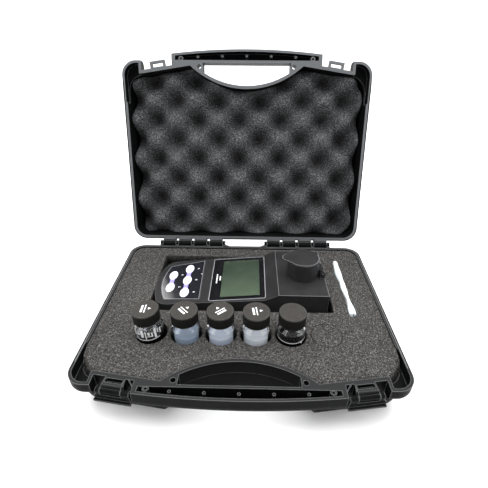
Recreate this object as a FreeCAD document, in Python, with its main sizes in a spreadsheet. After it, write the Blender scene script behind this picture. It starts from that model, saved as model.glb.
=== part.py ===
import FreeCAD, Part

import math
import os

from FreeCAD import Placement, Rotation, Vector

# Water test kit: a hard carrying case with foam inserts that holds a portable turbidity meter,
# four calibration standards, an empty sample vial and a folded wiping cloth.
# Millimetres. Origin: centre of the case's underside. +X to the right, +Y towards the hinge,
# +Z up. The base lies flat and its lid stands open.

doc = FreeCAD.newDocument("water_test_kit")
sheet = doc.addObject("Spreadsheet::Sheet", "sizes")

SIZES = {
    # case plan; front and back are the rim's y positions
    "rim_half_width": 140.0,
    "rim_front": -103.0,
    "rim_back": 102.7,
    "rim_corner": 16.0,
    "base_depth": 45.0,
    "lid_depth": 42.0,
    "band_depth": 14.0,
    "band_round": 7.0,
    "band_floor": 3.0,
    "shell_wall": 2.6,
    "tub_inset": 0.6,
    "tub_front": 10.0,
    "tub_corner": 22.0,
    "tub_round": 17.0,
    "tub_draft": 1.0,
    # handle bow and the opening behind it
    "bow_depth": 19.0,
    "bow_round": 10.0,
    "bow_bulge": 11.6,
    "bow_end_bulge": 2.1,
    "bow_end": 118.0,
    "grip_back": 2.0,
    "grip_half_width": 49.0,
    "grip_side": 11.5,
    "grip_top": 25.5,
    "gusset_reach": 62.0,
    "gusset_front": 1.5,
    "gusset_plate": 4.0,
    "padlock_across": 52.8,
    "padlock_back": 6.0,
    "padlock_radius": 2.3,
    "channel_half": 79.5,
    "channel_wall": 2.4,
    "channel_depth": 12.5,
    "post_radius": 1.4,
    "post_pitch": 27.0,
    "boss_across": 73.0,
    "boss_radius": 2.6,
    "boss_back": 1.6,
    "boss_bore": 1.2,
    # rim seal
    # latches
    "latch_inner": 83.5,
    "latch_middle": 100.0,
    "latch_slant": 8.5,
    "latch_hang": 11.5,
    "latch_width": 31.0,
    "latch_reach": 11.8,
    "latch_plate": 2.2,
    "latch_face": 2.4,
    "latch_lip": 2.6,
    "latch_lip_height": 2.6,
    "latch_chamfer": 6.5,
    "latch_pin_back": -2.6,
    "latch_pin_drop": 4.0,
    "latch_pin_radius": 1.25,
    "latch_bore": 1.3,
    "niche_rib": 11.0,
    "niche_rib_thick": 1.2,
    "niche_rib_middle": 90.8,
    "latch_knuckle": 2.4,
    "bracket_width": 17.0,
    "latch_side_gap": 0.3,
    "strike_front": 0.3,
    "strike_height": 4.2,
    "strike_bar": 2.6,
    # hinge
    "hinge_back": 5.84,
    "hinge_radius": 3.4,
    "hinge_pin_radius": 1.5,
    "hinge_bore": 1.55,
    "hinge_start": 25.0,
    "hinge_length": 82.0,
    "hinge_ear": 3.2,
    "hinge_gap": 0.2,
    "hinge_open": 105.13,
    # foams
    "foam_top": 40.0,
    "foam_gap": 0.5,
    "foam_round": 16.0,
    "foam_lift": 0.2,
    "lid_foam_thick": 30.0,
    "pocket_left": -96.0,
    "pocket_right": 91.5,
    "pocket_front": -10.5,
    "pocket_back": 86.0,
    "pocket_floor": 9.8,
    # vials
    "vial_radius": 12.75,
    "vial_wall": 1.4,
    "vial_floor": 3.0,
    "vial_shoulder": 47.0,
    "vial_neck": 9.4,
    "vial_mouth": 7.6,
    "vial_height": 60.0,
    "vial_bottom": 5.2,
    "vial_row": -41.0,
    "vial_first": -83.7,
    "vial_pitch": 32.4,
    "vial_hole": 14.5,
    "vial_tilt": 3.0,
    "cap_radius": 12.35,
    "cap_height": 11.3,
    "cap_top": 2.0,
    "cap_bore": 9.5,
    "liner_radius": 9.3,
    "liner_thick": 1.0,
    "liquid_top": 38.0,
    "liquid_gap": 0.02,
    "plug_across": 79.0,
    "plug_radius": 14.1,
    # cloth
    "cloth_across": 109.3,
    "cloth_front": -15.0,
    "cloth_back": 78.0,
    "cloth_top": 44.0,
    "cloth_fold": 7.4,
    "cloth_tongue": 2.6,
    "cloth_depth": 16.0,
    "slit_width": 3.4,
    # meter; its own frame has x along the case, y from its centreline, z up from its underside
    "meter_across": 0.0,
    "meter_middle": 34.5,
    "meter_bottom": 10.0,
    "meter_right": 86.0,
    "meter_half": 40.5,
    "meter_left_half": 38.0,
    "meter_left": -96.0,
    "meter_split": 18.0,
    "meter_top": 47.0,
    "meter_wall": 2.4,
    "block_left": 36.0,
    "ramp_left": 23.0,
    "face_tilt": 5.3,
    "face_across": -3.0,
    "face_height": 38.0,
    "block_ceiling": 44.0,
    "cavity_half": 34.0,
    "cavity_left": -80.0,
    "window_left": -32.4,
    "window_right": 26.9,
    "window_front": -37.0,
    "window_back": 38.0,
    "window_round": 2.5,
    "window_thick": 1.2,
    "glass_left": -21.0,
    "glass_right": 21.0,
    "glass_front": -31.5,
    "glass_back": 33.5,
    "lcd_thick": 2.6,
    "film_thick": 0.8,
    "key_half_width": 4.65,
    "key_half_length": 7.5,
    "key_gap": 0.15,
    "key_proud": 0.25,
    "key_travel": 0.35,
    "well_across": 63.2,
    "well_middle": -3.8,
    "well_bore": 13.3,
    "well_collar": 14.2,
    "well_outer": 15.0,
    "well_floor": 9.0,
    "port_height": 25.0,
    "well_rise": 1.0,
    "port_radius": 2.6,
    "seal_outer": 16.2,
    "seal_inner": 14.65,
    "seal_thick": 0.45,
    "cover_radius": 16.4,
    "cover_bore": 14.9,
    "cover_height": 20.7,
    "cover_seat": 47.5,
    "cover_lip": 22.4,
    "cover_pin_across": 83.6,
    "cover_pin_up": 5.6,
    "cover_pin_radius": 1.0,
    "cover_bore_radius": 1.06,
    "cover_barrel": 2.5,
    "board_thick": 1.6,
    "screw_left": -70.0,
    "screw_right": 76.0,
    "screw_side": 30.7,
    "screw_length": 24.0,
    "boss_wall": 4.0,
    "screw_head": 2.6,
    "screw_shank": 1.3,
    "door_thick": 2.0,
    "door_left": -62.0,
    "door_right": -4.0,
    "door_half": 31.0,
    "battery_height": 10.0,
    "battery_radius": 7.1,
    "battery_length": 49.5,
}

for row, (alias, value) in enumerate(SIZES.items(), start=1):
    sheet.set(f"A{row}", alias)
    sheet.set(f"B{row}", str(value))
    sheet.setAlias(f"B{row}", alias)
doc.recompute()


def size(alias):
    return float(sheet.get(alias))


# ---------------------------------------------------------------- outlines


def chain(start, *steps):
    """A closed outline. A step of one point is a line to it; two points are an arc through the first."""
    edges = []
    here = Vector(*start)
    for step in steps:
        points = [Vector(*point) for point in step]
        if len(points) == 1:
            edges.append(Part.LineSegment(here, points[0]))
        else:
            edges.append(Part.Arc(here, *points))
        here = points[-1]
    return edges


def circle(x, y, radius):
    return [Part.Circle(Vector(x, y, 0), Vector(0, 0, 1), radius)]


def box_outline(left, right, front, back, round_=0.0):
    """A rectangle, with its four corners rounded when round_ is given."""
    if not round_:
        return chain((left, front), [(right, front)], [(right, back)], [(left, back)], [(left, front)])
    cut = round_ * (1 - math.sqrt(0.5))
    return chain(
        (left + round_, front),
        [(right - round_, front)],
        [(right - cut, front + cut), (right, front + round_)],
        [(right, back - round_)],
        [(right - cut, back - cut), (right - round_, back)],
        [(left + round_, back)],
        [(left + cut, back - cut), (left, back - round_)],
        [(left, front + round_)],
        [(left + cut, front + cut), (left + round_, front)],
    )


def inset(outline, distance):
    """The outline moved inwards by the distance, with sharp inner corners kept sharp."""
    wire = Part.Wire([edge.toShape() for edge in outline])
    moved = wire.makeOffset2D(-distance, 2, False, False, False)
    edges = []
    for edge in moved.Edges:
        if isinstance(edge.Curve, Part.Circle):
            edges.append(Part.ArcOfCircle(edge.Curve, edge.FirstParameter, edge.LastParameter))
        else:
            edges.append(Part.LineSegment(edge.Vertexes[0].Point, edge.Vertexes[1].Point))
    return edges


def corner_point(x, y, radius, degrees):
    """A point on a corner's arc, given the arc's centre."""
    angle = math.radians(degrees)
    return (x + radius * math.cos(angle), y + radius * math.sin(angle))


def arc_rise(across, half, low, high):
    """Height at a distance from the middle of an arc that is high in the middle and low at half."""
    sag = high - low
    radius = (half * half + sag * sag) / (2 * sag)
    return high - radius + math.sqrt(radius * radius - across * across)


def bow_front(across):
    """The handle bow's front edge, measured back from the rim's front."""
    return -arc_rise(across, size("bow_end"), size("bow_end_bulge"), size("bow_bulge"))


def slant_front(across):
    """The tub's front wall beside the handle, which slants back towards the corners."""
    reach = size("gusset_reach")
    slope = (size("tub_front") - size("gusset_front")) / (size("bow_end") - reach)
    return size("gusset_front") + slope * (across - reach)


def tub_outline():
    """The deep part of either half: a rounded rectangle with the handle's arc taken out."""
    side = size("rim_half_width") - size("tub_inset")
    back = size("rim_back") - size("tub_inset")
    front = size("rim_front")
    near = front + size("tub_front")
    round_ = size("tub_corner")
    rear = size("rim_corner")
    reach = size("gusset_reach")
    return chain(
        (side - rear, back),
        [(-side + rear, back)],
        [corner_point(-side + rear, back - rear, rear, 135), (-side, back - rear)],
        [(-side, near + round_)],
        [corner_point(-side + round_, near + round_, round_, 225), (-side + round_, near)],
        [(-reach, front + size("gusset_front"))],
        [(0, front + size("grip_top")), (reach, front + size("gusset_front"))],
        [(side - round_, near)],
        [corner_point(side - round_, near + round_, round_, -45), (side, near + round_)],
        [(side, back - rear)],
        [corner_point(side - rear, back - rear, rear, 45), (side - rear, back)],
    )


def rim_outline():
    """The rim's plan: as the tub, but with full front corners that stand forward beside the latches."""
    side = size("rim_half_width")
    back = size("rim_back")
    front = size("rim_front")
    rear = size("rim_corner")
    reach = size("gusset_reach")
    end = size("bow_end")
    return chain(
        (side - rear, back),
        [(-side + rear, back)],
        [corner_point(-side + rear, back - rear, rear, 135), (-side, back - rear)],
        [(-side, front + rear)],
        [corner_point(-side + rear, front + rear, rear, 225), (-side + rear, front)],
        [(-end, front)],
        [(-end, front + size("tub_front"))],
        [(-reach, front + size("gusset_front"))],
        [(0, front + size("grip_top")), (reach, front + size("gusset_front"))],
        [(end, front + size("tub_front"))],
        [(end, front)],
        [(side - rear, front)],
        [corner_point(side - rear, front + rear, rear, -45), (side, front + rear)],
        [(side, back - rear)],
        [corner_point(side - rear, back - rear, rear, 45), (side - rear, back)],
    )


# ---------------------------------------------------------------- feature helpers


def new_body(label):
    body = doc.addObject("PartDesign::Body", label)
    body.Label = label
    return body


def draw(body, outlines, role="XY_Plane", offset=None, height=None):
    """A sketch on one of the body's origin planes. height is an expression for its offset."""
    sketch = body.newObject("Sketcher::SketchObject", body.Label + "_sketch")
    plane = next(f for f in body.Origin.OriginFeatures if f.Role == role)
    sketch.AttachmentSupport = [(plane, "")]
    sketch.MapMode = "FlatFace"
    if offset:
        sketch.AttachmentOffset = offset
    if height:
        sketch.setExpression("AttachmentOffset.Base.z", height)
    for outline in outlines:
        sketch.addGeometry(outline, False)
    sketch.Visibility = False
    return sketch


def pad(body, sketch, length, back=False, draft=None, both=False):
    feature = body.newObject("PartDesign::Pad", body.Label + "_pad")
    feature.Profile = sketch
    feature.setExpression("Length", length)
    feature.Reversed = back
    feature.Midplane = both
    feature.Refine = False
    if draft:
        feature.setExpression("TaperAngle", draft)
    doc.recompute()
    return feature


def pocket(body, sketch, length=None, up=False, draft=None, both=False):
    """Cut the sketch out of the body, and check that something was cut."""
    before = body.Shape.Volume
    feature = body.newObject("PartDesign::Pocket", body.Label + "_pocket")
    feature.Profile = sketch
    if length:
        feature.setExpression("Length", length)
    else:
        feature.Type = "ThroughAll"
    feature.Reversed = up
    feature.Midplane = both
    feature.Refine = False
    if draft:
        feature.setExpression("TaperAngle", draft)
    doc.recompute()
    if not body.Shape.Volume < before - 0.01:
        raise RuntimeError(f"{body.Label}: a pocket cut nothing")
    return feature


def edges_where(shape, test):
    return [f"Edge{n}" for n, edge in enumerate(shape.Edges, start=1) if test(edge)]


def round_edges(body, radius, test):
    """Fillet the tip feature's edges that pass the test."""
    base = body.Tip
    names = edges_where(base.Shape, test)
    if not names:
        raise RuntimeError(f"{body.Label}: no edge to round")
    fillet = body.newObject("PartDesign::Fillet", body.Label + "_fillet")
    fillet.Base = (base, names)
    fillet.setExpression("Radius", radius)
    doc.recompute()
    return fillet


def flat_at(height):
    """A test for edges that lie wholly at one height."""
    return lambda edge: max(abs(edge.BoundBox.ZMin - height), abs(edge.BoundBox.ZMax - height)) < 1e-4


def polygon(points):
    return chain(points[0], *[[point] for point in points[1:]], [points[0]])


# ---------------------------------------------------------------- the two shells

# Both shells are drawn with the mating plane at z = 0 and the shell's depth along +Z. The lid's plan is
# the same as the base's, so the lid is tipped open about the hinge and the base is turned over onto its
# back about Y.

FRONT = size("rim_front")
BACK = size("rim_back")
HINGE_Y = BACK + size("hinge_back")


def behind_front(points):
    """Plan points given as distances behind the rim's front edge."""
    return [(x, FRONT + y) for x, y in points]


def slanted_box(across, width, front, back, sign):
    """A block in the latch zone, square to the slanted front. front and back are from the rim's front."""
    turn = math.radians(size("latch_slant"))
    points = []
    for x, y in ((-width / 2, front), (width / 2, front), (width / 2, back), (-width / 2, back)):
        points.append(
            (
                sign * (across + x * math.cos(turn) - y * math.sin(turn)),
                FRONT + x * math.sin(turn) + y * math.cos(turn),
            )
        )
    return polygon(points)


def latch_frame(sign):
    """The latch pin's own frame, in the shells' shared plan: x along the pin, y to the case's back."""
    turn = math.radians(size("latch_slant"))
    back = size("latch_pin_back")
    middle = size("latch_middle")
    place = Vector(sign * (middle - back * math.sin(turn)), FRONT + back * math.cos(turn), 0)
    return place, Rotation(Vector(0, 0, 1), sign * size("latch_slant"))


def runs_outside(edge):
    """True for the edges of the band's sides, back and front corners, not those beside the latches."""
    box = edge.BoundBox
    return box.YMin > FRONT + 30 or (box.XLength > 0.1 and min(abs(box.XMin), abs(box.XMax)) > 117.9) or (
        box.YLength > 50
    )


def shell_form(body, depth):
    """The outside of a shell: rim band, handle bow and deep tub, with their lower edges rounded."""
    pad(body, draw(body, [rim_outline()]), "sizes.band_depth")
    band = size("band_depth")
    low = flat_at(band)
    round_edges(body, "sizes.band_round", lambda e: low(e) and runs_outside(e))
    end = size("bow_end")
    middle = (0, FRONT - size("bow_bulge"))
    tip = FRONT - size("bow_end_bulge")
    bow = chain((-end, tip), [middle, (end, tip)], [(end, FRONT + size("tub_front") + 3)],
                [(-end, FRONT + size("tub_front") + 3)], [(-end, tip)])
    pad(body, draw(body, [bow]), "sizes.bow_depth")
    low_bow = flat_at(size("bow_depth"))
    round_edges(body, "sizes.bow_round", lambda e: low_bow(e) and e.BoundBox.YMax < FRONT)
    pad(body, draw(body, [tub_outline()]), depth, draft="-sizes.tub_draft")
    low_tub = flat_at(size(depth.split(".")[1]))
    round_edges(body, "sizes.tub_round", low_tub)


def shell_hollows(body, depth):
    """The inside: tub, corner ledges, grip opening, handle channel, gussets and latch niches."""
    wall = size("shell_wall")
    grip = size("grip_half_width")
    side = size("grip_side")
    near = size("grip_back")
    opening = chain(
        (-grip, FRONT + near),
        [(grip, FRONT + near)],
        [(grip, FRONT + side)],
        [(0, FRONT + size("grip_top")), (-grip, FRONT + side)],
        [(-grip, FRONT + near)],
    )
    pocket(body, draw(body, [opening]), up=True)
    drawn_in = size(depth.split(".")[1]) * math.tan(math.radians(size("tub_draft")))
    core = new_body(body.Label + "_core")
    pad(core, draw(core, [inset(tub_outline(), wall + drawn_in)]), depth + " - sizes.shell_wall")
    round_edges(core, "sizes.tub_round - sizes.shell_wall", flat_at(size(depth.split(".")[1]) - wall))
    hollow = body.newObject("PartDesign::Boolean", body.Label + "_hollow")
    hollow.Type = "Cut"
    hollow.setObjects([core])
    body.Tip = hollow
    doc.recompute()
    edge = size("rim_half_width") - wall
    rear = size("rim_corner")
    centre = size("rim_half_width") - rear
    for sign in (-1, 1):
        bend = corner_point(centre, FRONT + rear, rear - wall, -45)
        corner = [(sign * (size("bow_end") + wall), FRONT + wall)], [(sign * centre, FRONT + wall)]
        ledge = chain(
            corner[0][0],
            corner[1],
            [(sign * bend[0], bend[1]), (sign * edge, FRONT + rear)],
            [(sign * edge, FRONT + size("tub_corner") * 2)],
            [(sign * (size("bow_end") + wall), FRONT + size("tub_corner") * 2)],
            corner[0],
        )
        pocket(body, draw(body, [ledge]), "sizes.band_depth - sizes.band_floor", up=True)
        inner = size("latch_inner")
        end = size("bow_end")
        niche = [(inner, -20), (end, -20), (end, slant_front(end)), (inner, slant_front(inner))]
        pocket(body, draw(body, [polygon(behind_front([(sign * x, y) for x, y in niche]))]),
               "sizes.bow_depth + 1", up=True)
    half = size("channel_half")
    skin = size("channel_wall")
    front_middle = (0, FRONT + bow_front(0) + skin)
    front_end = FRONT + bow_front(half) + skin
    rear = FRONT + near - skin
    channel = chain((-half, front_end), [front_middle, (half, front_end)], [(half, rear)], [(-half, rear)],
                    [(-half, front_end)])
    pocket(body, draw(body, [channel]), "sizes.channel_depth", up=True)


def shell_posts(body):
    """Posts along the handle's channel, and a bored boss at each end."""
    step = size("post_pitch")
    mid = [-2 * step, -step, 0, step, 2 * step]
    posts = [circle(x, FRONT + (bow_front(x) + size("grip_back")) / 2, size("post_radius")) for x in mid]
    height = draw(body, posts, height="0.5")
    pad(body, height, "sizes.channel_depth")
    across = size("boss_across")
    back = FRONT + size("grip_back") - size("channel_wall") - size("boss_back")
    rings = []
    for sign in (-1, 1):
        rings.append(circle(sign * across, back, size("boss_radius")))
        rings.append(circle(sign * across, back, size("boss_bore")))
    pad(body, draw(body, rings, height="0.3"), "sizes.channel_depth")


def gusset_holes(body):
    """The corner gussets of the grip: flat plates with a padlock hole, hollow behind the plate."""
    across = size("padlock_across")
    back = FRONT + size("padlock_back")
    plate = size("gusset_plate")
    for sign in (-1, 1):
        pocket(body, draw(body, [circle(sign * across, back, size("padlock_radius"))]),
               "sizes.gusset_plate + 0.5", up=True)
        recess = circle(sign * across, back, size("padlock_radius") + 0.25)
        pocket(body, draw(body, [recess], height=str(plate)), up=True)


ALONG_X = Rotation(Vector(0, 1, 0), Vector(0, 0, 1), Vector(1, 0, 0), "XYZ")


def across_at(x):
    """A sketch frame facing +X: the sketch's x runs along +Y and its y along +Z."""
    return Placement(Vector(x, 0, 0), ALONG_X)


def latch_side(sign):
    """As across_at, but square to the slanted latch, with the latch pin's plan position as its origin."""
    place, turn = latch_frame(sign)
    return Placement(place, turn.multiply(ALONG_X))


def slab(body, outline, frame, length):
    """A plate of the outline, centred on the frame's plane."""
    return pad(body, draw(body, [outline], offset=frame), length, both=True)


def latch_bracket(body, sign):
    """The block that carries a latch's pin, with a rounded front and a pocket in its top."""
    drop = size("latch_pin_drop")
    knuckle = size("latch_knuckle")
    rear = 11.2
    outline = chain((0, drop - knuckle), [(-knuckle, drop), (0, drop + knuckle)],
                    [(rear, drop + knuckle)], [(rear, 0)], [(knuckle, 0)], [(0, drop - knuckle)])
    slab(body, outline, latch_side(sign), "sizes.bracket_width")
    bore = circle(0, drop, size("latch_pin_radius"))
    pocket(body, draw(body, [bore], offset=latch_side(sign)), "sizes.bracket_width + 2", both=True)
    inner = size("bracket_width") / 2 - size("strike_bar") / 2
    top = slanted_box(size("latch_middle"), 2 * inner, 2.2, 6.0, sign)
    pocket(body, draw(body, [top]), "sizes.latch_pin_drop", up=True)


def niche_ribs(body, sign):
    """Two thin ribs, one square and one slanted, that stiffen the wall beside the latch."""
    thick = size("niche_rib_thick")
    square = size("niche_rib_middle")
    front = FRONT - 0.4
    back = FRONT + 7
    for foot, head in ((square, square), (size("latch_inner") - 0.5, square - 2.4)):
        corners = ((foot, front), (foot + thick, front), (head + thick, back), (head, back))
        rib = polygon([(sign * x, y) for x, y in corners])
        pad(body, draw(body, [rib], height="0.8"), "sizes.niche_rib")


def latch_strike(body, sign):
    """The loop that a latch's lip hooks over."""
    width = size("bracket_width")
    bar = size("strike_bar")
    front = size("strike_front")
    loop = slanted_box(size("latch_middle"), width, front, 8.6, sign)
    pad(body, draw(body, [loop]), "sizes.strike_height")
    window = slanted_box(size("latch_middle"), width - 2 * bar, front + bar, 6.6, sign)
    pocket(body, draw(body, [window]), "sizes.strike_height + 1", up=True)


def hinge_plates(body, starts, length, bore):
    """Knuckles on the hinge line, each with a web down to the back wall."""
    pivot = circle(HINGE_Y, 0, size("hinge_radius"))
    web = polygon([(BACK - 1.5, 0), (HINGE_Y, 0), (HINGE_Y + 2.6, 2.2), (BACK - 1.5, 9.0)])
    for start in starts:
        frame = across_at(start + length / 2)
        slab(body, pivot, frame, str(length))
        slab(body, web, frame, str(length))
    hole = circle(HINGE_Y, 0, size(bore))
    pocket(body, draw(body, [hole], offset=across_at(0)), "2 * sizes.rim_half_width", both=True)


def ear_starts():
    """Where the base's hinge ears start, left and right."""
    first = size("hinge_start")
    step = (size("hinge_length") - size("hinge_ear")) / 4
    right = [first + n * step for n in range(5)]
    return [-x - size("hinge_ear") for x in right] + right


def knuckle_starts():
    """Where the lid's knuckles start: they fill the gaps between the ears."""
    first = size("hinge_start") + size("hinge_ear") + size("hinge_gap")
    step = (size("hinge_length") - size("hinge_ear")) / 4
    right = [first + n * step for n in range(4)]
    return [-x - knuckle_length() for x in right] + right


def knuckle_length():
    step = (size("hinge_length") - size("hinge_ear")) / 4
    return step - size("hinge_ear") - 2 * size("hinge_gap")


def make_base_shell():
    body = new_body("base_shell")
    shell_form(body, "sizes.base_depth")
    shell_hollows(body, "sizes.base_depth")
    shell_posts(body)
    gusset_holes(body)
    for sign in (-1, 1):
        latch_bracket(body, sign)
        niche_ribs(body, sign)
        start = size("hinge_start")
        web = polygon([(sign * (start - 7), BACK - 1), (sign * (start + 1), BACK - 1),
                       (sign * (start + 1), HINGE_Y - 1)])
        pad(body, draw(body, [web]), "sizes.hinge_ear")
    hinge_plates(body, ear_starts(), size("hinge_ear"), "hinge_pin_radius")
    body.Placement = Placement(Vector(0, 0, size("base_depth")), Rotation(Vector(0, 1, 0), 180))
    return body


def open_lid(thing):
    """Set a piece that is drawn in the closed lid's frame into the open lid."""
    tip = Rotation(Vector(1, 0, 0), -size("hinge_open"))
    thing.Placement = Placement(Vector(0, 0, size("base_depth")), tip, Vector(0, HINGE_Y, 0))
    return thing


def make_lid_shell():
    body = new_body("lid_shell")
    shell_form(body, "sizes.lid_depth")
    shell_hollows(body, "sizes.lid_depth")
    shell_posts(body)
    gusset_holes(body)
    for sign in (-1, 1):
        latch_strike(body, sign)
    hinge_plates(body, knuckle_starts(), knuckle_length(), "hinge_bore")
    return open_lid(body)


# ---------------------------------------------------------------- simple pieces


def rod(label, radius, length, place):
    """A round bar along its own +Z."""
    bar = doc.addObject("Part::Cylinder", label)
    bar.Label = label
    bar.setExpression("Radius", radius)
    bar.setExpression("Height", length)
    bar.Placement = place
    return bar


def turned(label, profile):
    """A turned piece: the profile gives (radius, height) points."""
    body = new_body(label)
    sketch = draw(body, [polygon(profile)], role="XZ_Plane")
    spin = body.newObject("PartDesign::Revolution", label + "_turn")
    spin.Profile = sketch
    spin.ReferenceAxis = (sketch, ["V_Axis"])
    spin.Angle = 360
    doc.recompute()
    return body


def group(label, pieces):
    """Identical loose pieces kept as one sub-part of separate solids."""
    whole = doc.addObject("Part::Compound", label)
    whole.Label = label
    whole.Links = pieces
    return whole


TO_X = Rotation(Vector(0, 1, 0), 90)
TO_Y = Rotation(Vector(1, 0, 0), -90)


def make_hinge_pins():
    pins = []
    first = size("hinge_start")
    for side, start in (("left", -first - size("hinge_length")), ("right", first)):
        place = Placement(Vector(start, HINGE_Y, size("base_depth")), TO_X)
        pins.append(rod(f"hinge_pin_{side}", "sizes.hinge_pin_radius", "sizes.hinge_length", place))
    return pins


def latch_pivot(sign):
    """The latch pin's centre in the case's frame, and the slant of its line."""
    place, turn = latch_frame(sign)
    return Vector(place.x, place.y, size("base_depth") - size("latch_pin_drop")), turn


def make_latch(side, sign):
    """A latch as it hangs: a plate with a lip at its tip, and a knuckle each side of the bracket."""
    body = new_body(f"latch_{side}")
    knuckle = size("latch_knuckle")
    face = -size("latch_face")
    inner = face + size("latch_plate")
    tip = -size("latch_reach")
    lip = face - size("latch_lip")
    frame = across_at(0)
    slab(body, circle(0, 0, knuckle), frame, "sizes.latch_width")
    plate = polygon([(face, 0), (face, tip + size("latch_lip_height")), (lip, tip + size("latch_lip_height")),
                     (lip, tip + 0.8), (lip + 0.8, tip), (inner, tip), (inner, 0)])
    slab(body, plate, frame, "sizes.latch_width")
    half = size("latch_width") / 2
    gap = size("bracket_width") / 2 + size("latch_side_gap")
    facing = Placement(Vector(0, 0, 0), Rotation(Vector(1, 0, 0), 90))
    slot = box_outline(-gap, gap, -knuckle - 1.2, knuckle + 1)
    reach = gap + 3.6
    corner = size("latch_chamfer")
    bevel = polygon([(sign * reach, knuckle + 1), (sign * reach, -knuckle), (sign * (half + 0.1), -corner),
                     (sign * (half + 1), knuckle + 1)])
    for cut in (slot, bevel):
        pocket(body, draw(body, [cut], offset=facing), "4 * sizes.latch_knuckle", both=True)
    bore = circle(0, 0, size("latch_bore"))
    pocket(body, draw(body, [bore], offset=frame), "2 * sizes.latch_width", both=True)
    centre, turn = latch_pivot(sign)
    body.Placement = Placement(centre, turn.multiply(Rotation(Vector(1, 0, 0), size("latch_hang"))))
    return body


def make_latches():
    pieces = []
    for side, sign in (("left", -1), ("right", 1)):
        pieces.append(make_latch(side, sign))
        centre, turn = latch_pivot(sign)
        half = size("latch_width") / 2
        outer = size("bracket_width") / 2 + size("latch_side_gap") + 3.4
        start = -half if sign > 0 else -outer
        along = turn.multVec(Vector(1, 0, 0))
        length = f"sizes.latch_width / 2 + {outer}"
        pieces.append(rod(f"latch_pin_{side}", "sizes.latch_pin_radius", length,
                          Placement(centre + along * start, turn.multiply(TO_X))))
    return pieces


def foam_block(label, depth, thickness):
    """A foam block cut to a tub's inside, with the edge that meets the tub's floor rounded."""
    body = new_body(label)
    drawn_in = depth * math.tan(math.radians(size("tub_draft")))
    outline = inset(tub_outline(), size("shell_wall") + drawn_in + size("foam_gap"))
    floor = depth - size("shell_wall") - size("foam_lift")
    pad(body, draw(body, [outline], height=str(floor - thickness)), str(thickness))
    round_edges(body, "sizes.foam_round", flat_at(floor))
    return body


def make_base_foam():
    depth = size("base_depth")
    thick = size("foam_top") - size("shell_wall") - size("foam_lift")
    body = foam_block("base_foam", depth, thick)
    top = str(depth - size("foam_top") - 1)
    across = size("meter_across")
    well = box_outline(-(across + size("pocket_right")), -(across + size("pocket_left")),
                       size("pocket_front"), size("pocket_back"))
    pocket(body, draw(body, [well], height=top), "sizes.foam_top - sizes.pocket_floor + 1", up=True)
    holes = [circle(-vial_across(n), size("vial_row"), size("vial_hole")) for n in range(5)]
    holes.append(circle(-size("plug_across"), size("vial_row"), size("vial_hole")))
    pocket(body, draw(body, holes, height=top), "sizes.foam_top - sizes.vial_bottom + 1.2", up=True)
    half = size("slit_width") / 2
    slit = box_outline(-size("cloth_across") - half, -size("cloth_across") + half,
                       size("cloth_front") - 1, size("cloth_back") + 1)
    pocket(body, draw(body, [slit], height=top), "sizes.cloth_depth + 2", up=True)
    body.Placement = Placement(Vector(0, 0, depth), Rotation(Vector(0, 1, 0), 180))
    return body


def make_lid_foam():
    depth = size("lid_depth")
    return open_lid(foam_block("lid_foam", depth, size("lid_foam_thick")))


def make_foam_plug():
    place = Placement(Vector(size("plug_across"), size("vial_row"), size("vial_bottom")), Rotation())
    return rod("foam_plug", "sizes.plug_radius", "sizes.foam_top - sizes.vial_bottom", place)


def vial_across(number):
    return size("vial_first") + number * size("vial_pitch")


def vial_place(number):
    """Where a vial stands. The first one leans a little in its hole."""
    lean = -size("vial_tilt") if number == 0 else 0.0
    foot = Vector(vial_across(number), size("vial_row"), size("vial_bottom"))
    if lean:
        foot = foot + Vector(0.6, 0, 0.7)
    return Placement(foot, Rotation(Vector(0, 1, 0), lean))


def make_vial(number):
    """A glass vial with its screw cap, the cap's liner and, in the standards, the liquid."""
    outer = size("vial_radius")
    inner = outer - size("vial_wall")
    floor = size("vial_floor")
    shoulder = size("vial_shoulder")
    neck = size("vial_neck")
    mouth = size("vial_mouth")
    top = size("vial_height")
    glass = turned(f"vial_glass_{number + 1}", [
        (0, 0), (outer - 1, 0), (outer, 1), (outer, shoulder - 2), (outer - 2, shoulder), (neck, shoulder + 1),
        (neck, top), (mouth, top), (mouth, shoulder), (inner - 1.5, shoulder - 2), (inner, shoulder - 4),
        (inner, floor + 1), (inner - 1, floor), (0, floor)])
    under = top + size("liner_thick")
    low = under + size("cap_top") - size("cap_height")
    wide = size("cap_radius")
    cap = turned(f"vial_cap_{number + 1}", [
        (0, under), (size("cap_bore"), under), (size("cap_bore"), low), (wide, low),
        (wide, under + size("cap_top") - 0.6), (wide - 0.6, under + size("cap_top")), (0, under + size("cap_top"))])
    liner = turned(f"cap_liner_{number + 1}", [(0, top), (size("liner_radius"), top),
                                               (size("liner_radius"), under), (0, under)])
    pieces = [glass, cap, liner]
    if number < 4:
        wet = inner - size("liquid_gap")
        level = size("liquid_top")
        pieces.append(turned(f"standard_liquid_{number + 1}", [
            (0, floor + 0.02), (wet - 1, floor + 0.02), (wet, floor + 1.02), (wet, level), (0, level)]))
    for piece in pieces:
        piece.Placement = vial_place(number)
    return pieces


def make_cloth():
    """The wiping cloth as a closed solid: a rounded fold on the foam and a tongue down in the slit."""
    body = new_body("cleaning_cloth")
    fold = size("cloth_fold") / 2
    tongue = size("cloth_tongue") / 2
    top = size("cloth_top")
    rest = size("foam_top") + 0.1
    deep = size("foam_top") - size("cloth_depth")
    outline = chain((-tongue, deep), [(tongue, deep)], [(tongue, rest)], [(fold, rest)], [(fold, top - 2)],
                    [(0, top), (-fold, top - 2)], [(-fold, rest)], [(-tongue, rest)], [(-tongue, deep)])
    facing = Placement(Vector(0, size("cloth_back"), 0), Rotation(Vector(1, 0, 0), 90))
    pad(body, draw(body, [outline], offset=facing), "sizes.cloth_back - sizes.cloth_front")
    body.Placement = Placement(Vector(size("cloth_across"), 0, 0), Rotation())
    return body


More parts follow.
